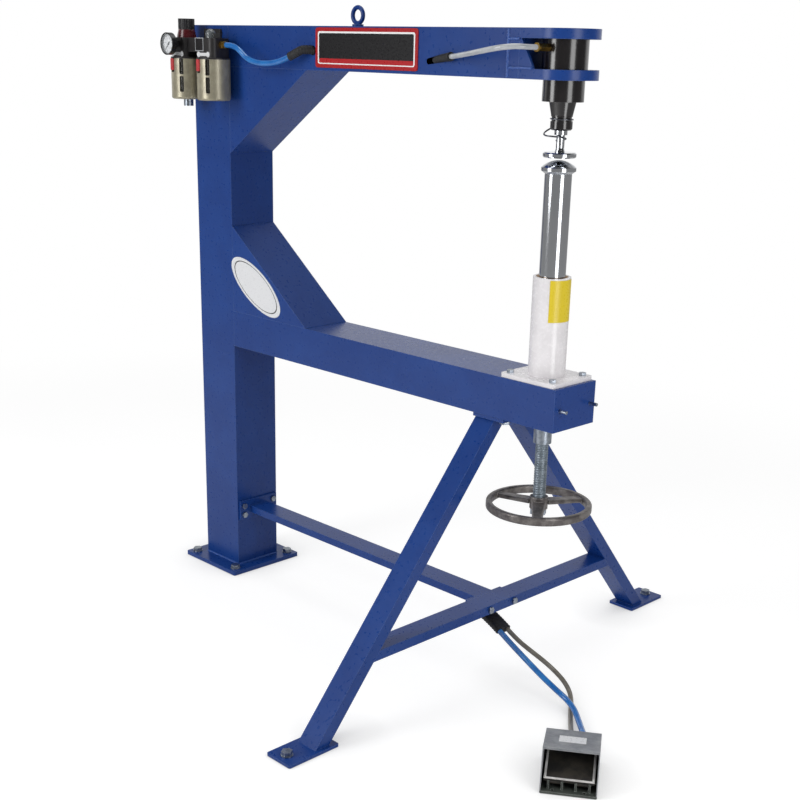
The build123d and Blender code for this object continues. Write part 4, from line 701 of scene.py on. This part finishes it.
INLET_TURN, INLET_Z, INLET_REACH, INLET_LEAD = math.radians(-97), 1277.0, 73.0, 21.0
INLET_OUT = np.array((math.cos(INLET_TURN), math.sin(INLET_TURN), 0.0))
INLET_MOUTH = np.array((POST_X, 0.0, INLET_Z)) + INLET_OUT * INLET_REACH
hose(
    "blue_air_hose",
    [
        (112, -104, 1268), (134, -104, 1268), (158, -103.5, 1259), (178, -102, 1243),
        (203, -99.5, 1234.5), (234, -96, 1232), (264, -92.5, 1234.5), (288, -89, 1240),
        (308, -86, 1248),
    ],
    12, blue_polyurethane, "frame", "air_hose",
)
hose(
    "clear_hammer_hose",
    [
        (764.6, -73, 1257), (803, -85, 1260.5), (842, -101, 1264.5), (879, -118, 1268),
        (914, -126, 1272.5), (937.5, -123.5, 1276), (957, -112, 1278),
        tuple(INLET_MOUTH + INLET_OUT * INLET_LEAD), tuple(INLET_MOUTH),
    ],
    10, clear_vinyl, "frame", "hammer_hose",
)
STAND_END = np.array((922.0, -20.0, 109.5))
STAND_WAY = np.array((60.0, -8.0, -24.5)) / np.linalg.norm((60.0, -8.0, -24.5))
STAND_ACROSS = np.array((8.0, 60.0, 0.0)) / np.linalg.norm((8.0, 60.0))
HALF_PITCH = 10.5
SUPPLY_START = STAND_END - STAND_ACROSS * HALF_PITCH
RETURN_START = STAND_END + STAND_ACROSS * HALF_PITCH
hose(
    "blue_pedal_hose",
    [
        tuple(SUPPLY_START), tuple(SUPPLY_START + STAND_WAY * 40), (1003, -39.5, 76),
        (1046, -39.5, 55), (1082, -36, 36.5), (1112, -34.5, 24), (1140, -46, 18),
        (1168, -69, 15), (1196, -95, 16), (1221, -119.5, 21),
        pedal_place(23, 98, 25), pedal_place(23, 70, 25),
    ],
    12, blue_polyurethane, "frame", "pedal_hose_blue",
)
hose(
    "grey_pedal_hose",
    [
        tuple(RETURN_START), tuple(RETURN_START + STAND_WAY * 32), (985, -9, 83),
        (1014, 3, 65), (1039, 14, 45.5), (1062, 18.5, 28), (1084, 11, 14.5),
        (1103, -8, 7.5), (1122, -33.5, 5.2), (1145, -63, 5.4), (1168, -92, 7.5),
        (1193, -122, 14.5), pedal_place(-4, 98, 25), pedal_place(-4, 70, 25),
    ],
    10, grey_polyurethane, "frame", "pedal_hose_grey",
)


# Floor, backdrop and light
def straight_rays(tree):
    """Two sockets: 1 for rays straight from the eye or through clear plastic, and 1 for gloss."""
    seen = add(tree, "ShaderNodeLightPath")
    straight = add(
        tree, "ShaderNodeMath",
        {0: seen.outputs["Is Camera Ray"], 1: seen.outputs["Is Transmission Ray"]},
        operation="MAXIMUM",
    ).outputs[0]
    return straight, seen.outputs["Is Glossy Ray"]


FLOOR_REACH, FLOOR_DROP = 30.0, 0.0005
WHITE_FROM, WHITE_TO = 1.3, 2.6
SHADE_REACH, SHADE_DARK, SHADE_LIGHT = 0.12, 0.25, 0.78


def set_floor():
    """A pale floor with a painted soft shadow near the object, its glow dimmed by occlusion, which
    fades to plain white far off.
    """
    material = bpy.data.materials.new("pale studio floor")
    material.use_nodes = True
    tree = material.node_tree
    tree.nodes.clear()
    place = add(tree, "ShaderNodeTexCoord").outputs["Object"]
    far = add(tree, "ShaderNodeVectorMath", {0: place}, operation="LENGTH").outputs["Value"]
    fade = add(
        tree, "ShaderNodeMapRange", {"Value": far, "From Min": WHITE_FROM, "From Max": WHITE_TO},
        interpolation_type="SMOOTHSTEP",
    ).outputs["Result"]
    ground = add(tree, "ShaderNodeBsdfDiffuse", {"Color": linear("#f3f3f3")}).outputs["BSDF"]
    dim = add(tree, "ShaderNodeBsdfDiffuse", {"Color": linear("#a0a0a0")}).outputs["BSDF"]
    # Painted shadow: the floor's glow dims where occlusion finds the object close by.
    hidden = add(
        tree, "ShaderNodeAmbientOcclusion", {"Distance": SHADE_REACH}, samples=8
    ).outputs["AO"]
    soft = add(
        tree, "ShaderNodeMapRange", {"Value": hidden, "To Min": SHADE_DARK, "To Max": SHADE_LIGHT}
    ).outputs["Result"]
    glow = add(tree, "ShaderNodeEmission", {"Color": (1, 1, 1, 1), "Strength": soft}).outputs[0]
    near = add(tree, "ShaderNodeAddShader", {0: dim, 1: glow}).outputs[0]
    white = add(tree, "ShaderNodeEmission", {"Color": (1, 1, 1, 1), "Strength": 1.0}).outputs[0]
    shown = add(tree, "ShaderNodeMixShader", {0: fade, 1: near, 2: white}).outputs[0]
    straight = straight_rays(tree)[0]
    mixed = add(tree, "ShaderNodeMixShader", {0: straight, 1: ground, 2: shown}).outputs[0]
    add(tree, "ShaderNodeOutputMaterial", {"Surface": mixed})
    mesh = bpy.data.meshes.new("floor")
    corners = [(-1, -1), (1, -1), (1, 1), (-1, 1)]
    mesh.from_pydata(
        [(x * FLOOR_REACH, y * FLOOR_REACH, -FLOOR_DROP) for x, y in corners],
        [],
        [(0, 1, 2, 3)],
    )
    mesh.materials.append(material)
    floor = bpy.data.objects.new("floor", mesh)
    bpy.context.scene.collection.objects.link(floor)


BEHIND = (-0.707, 0.707, 0.0)
BEHIND_FROM, BEHIND_TO, FRONT_LEVEL = 0.2, 0.45, 0.1
UP_FROM, UP_TO, UP_LEVEL = 0.15, 0.6, 0.35
FILL_LEVEL = 0.31


def set_world():
    """White to the eye. Gloss sees that white behind the object, and a dimmer room elsewhere."""
    world = bpy.data.worlds.new("studio")
    bpy.context.scene.world = world
    world.use_nodes = True
    tree = world.node_tree
    tree.nodes.clear()
    straight, glossy = straight_rays(tree)
    way = add(tree, "ShaderNodeTexCoord").outputs["Generated"]
    behind = add(
        tree, "ShaderNodeVectorMath", {0: way, 1: BEHIND}, operation="DOT_PRODUCT"
    ).outputs["Value"]
    backdrop = add(
        tree, "ShaderNodeMapRange",
        {
            "Value": behind,
            "From Min": BEHIND_FROM,
            "From Max": BEHIND_TO,
            "To Min": FRONT_LEVEL,
            "To Max": 1.0,
        },
        interpolation_type="SMOOTHSTEP",
    ).outputs["Result"]
    height = add(tree, "ShaderNodeSeparateXYZ", {"Vector": way}).outputs["Z"]
    upwards = add(
        tree, "ShaderNodeMapRange",
        {
            "Value": height,
            "From Min": UP_FROM,
            "From Max": UP_TO,
            "To Min": 1.0,
            "To Max": UP_LEVEL,
        },
    ).outputs["Result"]
    mirrored = add(
        tree, "ShaderNodeMath", {0: backdrop, 1: upwards}, operation="MULTIPLY"
    ).outputs[0]
    other = add(
        tree, "ShaderNodeMix", {0: glossy, 2: FILL_LEVEL, 3: mirrored}, data_type="FLOAT"
    ).outputs[0]
    level = add(
        tree, "ShaderNodeMix", {0: straight, 2: other, 3: 1.0}, data_type="FLOAT"
    ).outputs[0]
    sky = add(
        tree, "ShaderNodeBackground", {"Color": (1, 1, 1, 1), "Strength": level}
    ).outputs["Background"]
    add(tree, "ShaderNodeOutputWorld", {"Surface": sky})


def lamp(name, spot, target, width, height, power):
    """A soft box of a size and at a spot in metres, turned to a target."""
    light = bpy.data.lights.new(name, "AREA")
    light.shape = "RECTANGLE"
    light.size = width
    light.size_y = height
    light.energy = power
    box = bpy.data.objects.new(name, light)
    bpy.context.scene.collection.objects.link(box)
    box.location = spot
    box.rotation_euler = (Vector(target) - Vector(spot)).to_track_quat("-Z", "Y").to_euler()


set_floor()
set_world()
lamp("left_strip", (-0.415, -2.99, 1.95), (0.6, 0, 0.9), 1.3, 2.8, 60)
lamp("right_strip", (2.3, -0.36, 0.95), (0.98, 0, 0.85), 0.55, 1.5, 10)
lamp("top_box", (0.4, 0.5, 3.8), (0.5, 0, 0.6), 2.2, 2.2, 32)
bpy.context.scene.view_settings.view_transform = "Standard"


# Lifting screw: a rounded thread of 5 mm pitch
def screw_rod(low, high, outer, depth, pitch, sides=40, per_turn=8):
    """The radius is outer - depth * trough, where trough is 0 on the crest and 1 in the root.

    It follows the share of a turn z / pitch - angle / (2 pi), so the groove climbs anticlockwise,
    and it runs out over the last pitch at each end.
    """
    rows = int((high - low) / pitch * per_turn) + 1
    z = np.linspace(low, high, rows)[:, None]
    angle = np.linspace(0, 2 * np.pi, sides, endpoint=False)[None]
    share = (z / pitch - angle / (2 * np.pi)) % 1.0
    trough = 0.5 - 0.5 * np.cos(2 * np.pi * share)
    faded = ramp(low, low + pitch, z) * (1 - ramp(high - pitch, high, z))
    radius = outer / 2 - depth * trough * faded
    return np.stack(
        [
            POST_X + radius * np.cos(angle),
            radius * np.sin(angle),
            np.broadcast_to(z, radius.shape),
        ],
        axis=-1,
    )


SCREW_LOW, SCREW_HIGH, SCREW_OUTER, SCREW_DEPTH, SCREW_PITCH = 421, 742, 26, 0.9, 5
SCREW_TOP = [(9, SCREW_HIGH), (9, 765.5), (8.5, 766)]
SCREW_SPIGOT = [(8, 381), (8, 396), (10, 396), (10, SCREW_LOW)]
placed(
    "lifting_screw_thread",
    shell(
        "lifting_screw_thread",
        [
            (screw_rod(SCREW_LOW, SCREW_HIGH, SCREW_OUTER, SCREW_DEPTH, SCREW_PITCH),
             False, True, True),
            (turned(SCREW_TOP, (POST_X, 0, 0), steps=40), False, True, True),
            (turned(SCREW_SPIGOT, (POST_X, 0, 0), steps=40), False, True, True),
        ],
        sharp=50,
    ),
    "handwheel", rolled_thread, ("lift_screw",),
)

# Springs: round wire along a winding line
def wire_piece(name, line, wire, sides, stands_for):
    """A round wire of a diameter on a line of places, closed at both ends."""
    return placed(
        name,
        shell(name, [(tube(line, wire / 2, sides), False, True, True)], sharp=60),
        "frame", spring_wire, (stands_for,),
    )


RETAINER_TOP, RETAINER_TURNS, RETAINER_START = 1154.0, 1.9, math.radians(218)
RETAINER_SEAT, RETAINER_WIDE, RETAINER_NECK = 20.3, 31.0, 9.8


def retainer_line():
    """From the groove round the nose, out to a wide loop, and in to the neck of the die.

    For a number of turns t, the radius is seat + (wide - seat) * ramp(0.45, 1, t)
    - (wide - neck) * ramp(1, 1.4, t). The height falls by 2 * min(t, 1) for the seat's own
    slope, by 28 over the wide loop and by 9 over the last turn, each on a ramp.
    """
    t = np.linspace(0, RETAINER_TURNS, 230)
    radius = (
        RETAINER_SEAT
        + (RETAINER_WIDE - RETAINER_SEAT) * ramp(0.45, 1.0, t)
        - (RETAINER_WIDE - RETAINER_NECK) * ramp(1.0, 1.4, t)
    )
    drop = 2 * np.minimum(t, 1) + 28 * ramp(0.55, 1.1, t) + 9 * ramp(1.0, 1.9, t)
    angle = RETAINER_START + 2 * np.pi * t
    x = POST_X + radius * np.cos(angle)
    return np.stack([x, radius * np.sin(angle), RETAINER_TOP - drop], axis=-1)


TREADLE_SPRING_Y, TREADLE_SPRING_RADIUS, TREADLE_SPRING_TURNS = -18.5, 8, 4
TREADLE_SPRING_LOW, TREADLE_SPRING_RISE = 6.1, 22.2


def treadle_spring_line():
    """An even helix in the pedal's frame: the height grows with the angle."""
    share = np.linspace(0, 1, 260)
    angle = 2 * np.pi * TREADLE_SPRING_TURNS * share
    place = pedal_place(
        TREADLE_SPRING_RADIUS * np.cos(angle),
        TREADLE_SPRING_Y + TREADLE_SPRING_RADIUS * np.sin(angle),
        TREADLE_SPRING_LOW + TREADLE_SPRING_RISE * share,
    )
    return np.stack(place, axis=-1)


wire_piece("retainer_spring_wire", retainer_line(), 3.0, 12, "retainer_spring")
treadle_wire = wire_piece(
    "treadle_spring_wire", treadle_spring_line(), 1.6, 10, "treadle_spring"
)
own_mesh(treadle_wire)


# Sleeves: ribbed rubber where hoses go into the arm and the stand
def sleeve(points, start, end, rib=5.0, depth=0.7):
    """The radius goes from start to end and dips by depth once in each rib length.

    dip = depth * (0.5 - 0.5 * cos(2 * pi * way / rib)), with way counted along the sleeve. start
    and end have one radius each, or two for a flattened sleeve.
    """
    line = eased(points, 60)
    way = np.append(0, np.cumsum(np.linalg.norm(np.diff(line, axis=0), axis=1)))
    share = (way / way[-1])[:, None]
    dip = depth * (0.5 - 0.5 * np.cos(2 * np.pi * way / rib))[:, None]
    radius = np.array(start) * (1 - share) + np.array(end) * share - dip
    return tube(line, radius, 32, 0.55 if len(start) > 1 else 1.0)


def held_off(grid):
    """Keeps a sleeve's end on the outside of the upper arm's side wall."""
    grid[..., 1] = np.minimum(grid[..., 1], -HALF_WIDTH - 0.1)
    return grid


AIR_SLEEVE = [(308, -86, 1248), (326.4, -83.2, 1255.4), (342, -78, 1264.5), (357, -53, 1261)]
HAMMER_SLEEVE = [
    (764.6, -73, 1257), (741.8, -65.9, 1254.9), (712, -62.5, 1250), (694, -45.5, 1247),
]
STAND_SLEEVE = [(826, -8, 134), (862, -12, 134), (922, -20, 109.5)]
placed(
    "ribbed_hose_sleeves",
    shell(
        "ribbed_hose_sleeves",
        [
            (held_off(sleeve(AIR_SLEEVE, (9.0,), (9.5,))), False, True, True),
            (held_off(sleeve(HAMMER_SLEEVE, (8.5,), (6.0,))), False, True, True),
            (sleeve(STAND_SLEEVE, (19.0, 9.0), (19.0, 9.0), rib=7.0, depth=1.0),
             False, True, True),
        ],
        sharp=50,
    ),
    "frame", moulded_rubber, ("hose_sleeves",),
)


# Rim of the tread: a mitred bar round the treadle's top face
PIN_Y, PIN_Z, TREADLE_SLOPE, TREADLE_FACE = -48.5, 19, math.radians(20), 9.5
RIM_SIDE, RIM_LOW, RIM_HIGH = 43.8, -3.8, 67.8
RIM_PROFILE = [(-2.2, -0.6), (-2.2, 0.5), (-1.6, 0.9), (1.6, 0.9), (2.2, 0.5), (2.2, -0.6)]


def treadle_rim():
    """Each corner is pushed out by the profile's offset, and raised by its height.

    A point is (u, d, h) on the treadle: u across, d up its slope and h off its pin. In the
    pedal's frame it is (u, pin_y + d * cos - h * sin, pin_z + d * sin + h * cos).
    """
    offset, height = np.array(RIM_PROFILE).T
    turn_u, turn_d = np.array([(-1, -1), (1, -1), (1, 1), (-1, 1)]).T
    u = turn_u[:, None] * (RIM_SIDE + offset)
    d = (RIM_LOW + RIM_HIGH) / 2 + turn_d[:, None] * ((RIM_HIGH - RIM_LOW) / 2 + offset)
    h = TREADLE_FACE + height
    cos, sin = math.cos(TREADLE_SLOPE), math.sin(TREADLE_SLOPE)
    return np.stack(pedal_place(u, PIN_Y + d * cos - h * sin, PIN_Z + d * sin + h * cos), axis=-1)


placed(
    "tread_rim",
    shell("tread_rim", [(treadle_rim(), True, True, False)]),
    "treadle", painted_light_rim,
)


# Weld beads: half-sunk rippled runs of weld under the enamel
def bead(points, radius, ripple=5.0):
    """A thin tube whose radius is radius * (1 + 0.12 * cos(2 * pi * way / ripple))."""
    line = spaced(points, 1.25)
    way = np.append(0, np.cumsum(np.linalg.norm(np.diff(line, axis=0), axis=1)))
    return (tube(line, radius * (1 + 0.12 * np.cos(2 * np.pi * way / ripple)), 8),
            False, True, True)


SEAM_X, PLATE_END, WEB_END = 897, 924, 955
ARM_LOW, ARM_HIGH, LOW_PLATE, HIGH_PLATE = 1224, 1308, 1241, 1291
COLUMN_X, COLUMN_Y, BASE_TOP = 65, 61, 10
seams = []
for side in (-HALF_WIDTH, HALF_WIDTH):
    seams += [
        bead([(SEAM_X, side, ARM_LOW), (SEAM_X, side, ARM_HIGH)], 3.0),
        bead([(SEAM_X + 3, side, HIGH_PLATE), (PLATE_END, side, HIGH_PLATE)], 2.6),
        bead([(SEAM_X + 3, side, LOW_PLATE), (WEB_END, side, LOW_PLATE)], 2.6),
        bead([(2 - COLUMN_X, side, BASE_TOP), (COLUMN_X - 2, side, BASE_TOP)], 3.0),
    ]
for end in (-COLUMN_X, COLUMN_X):
    seams.append(bead([(end, -COLUMN_Y, BASE_TOP), (end, COLUMN_Y, BASE_TOP)], 3.0))
# Enamel over weld: a paler blue than the frame's, in 4 mm patches, a painted highlight on the beads.
weld_enamel = surface(
    "blue enamel over weld", "#3c5fa8", "#2a4c96", 4, (0.25, 0.35), 2, 0.02, edge_radius=0.4,
)
placed("weld_beads", shell("weld_beads", seams, sharp=60), "frame", weld_enamel)

# Gauge dial: a white card with black marks over three quarters of a turn, and plain numbers
GAUGE_X, GAUGE_Z, DIAL_Y, DIAL_RADIUS, DIAL_HOLE, CARD = -34.0, 1268.0, -153.9, 21.2, 0.6, 0.4
DIAL_START, DIAL_SWEEP, DIAL_STEPS = math.radians(225), math.radians(270), 50
INK_LIFT, NUMBER_RADIUS = 0.12, 12.6
# Printed card: matt white, and flat black ink on it.
dial_card = surface("matt white dial card", "#e9eaec", "#e2e3e6", 8, (0.45, 0.55), 2, 0.0)
dial_ink = surface("black dial ink", "#141416", "#1a1a1d", 5, (0.4, 0.5), 1, 0.0)
DIAL_PROFILE = [(DIAL_HOLE, 0), (DIAL_RADIUS, 0), (DIAL_RADIUS, -CARD), (DIAL_HOLE, -CARD)]
dial_ring = turned(DIAL_PROFILE, (GAUGE_X, DIAL_Y, GAUGE_Z), (0, -1, 0))
placed(
    "gauge_dial",
    shell("gauge_dial", [(dial_ring, True, True, False)], turn=True),
    "frame", dial_card,
)


def dial_place(share, radius):
    """A place on the card: the angle runs clockwise from the start by a share of the sweep."""
    angle = DIAL_START - DIAL_SWEEP * share
    return np.array(
        (
            GAUGE_X + radius * math.cos(angle),
            DIAL_Y - INK_LIFT,
            GAUGE_Z + radius * math.sin(angle),
        )
    )


def mark(share, inner, outer, half):
    """A flat stroke between two radii, half wide each way, square to the dial's radius."""
    angle = DIAL_START - DIAL_SWEEP * share
    side = np.array((-math.sin(angle), 0, math.cos(angle))) * half
    corners = [[dial_place(share, r) + side * k for k in (1, -1)] for r in (inner, outer)]
    return (np.array(corners), False, False, False)


marks = [
    mark(step / DIAL_STEPS, *((16.0, 20.0, 0.42) if step % 5 == 0 else (18.0, 20.0, 0.22)))
    for step in range(DIAL_STEPS + 1)
]
placed("gauge_marks", shell("gauge_marks", marks), "frame", dial_ink)
for number in range(0, 11, 2):
    letters = bpy.data.curves.new("dial_number", "FONT")
    letters.body = str(number)
    letters.size = 4.6 * MM
    letters.align_x = "CENTER"
    letters.align_y = "CENTER"
    writing = bpy.data.objects.new("dial_number", letters)
    bpy.context.scene.collection.objects.link(writing)
    mesh = bpy.data.meshes.new_from_object(writing)
    bpy.data.objects.remove(writing)
    spot = Vector(dial_place(number / 10, NUMBER_RADIUS)) * MM
    mesh.transform(Matrix.Translation(spot) @ Matrix.Rotation(math.pi / 2, 4, "X"))
    placed(f"dial_number_{number}", mesh, "frame", dial_ink)
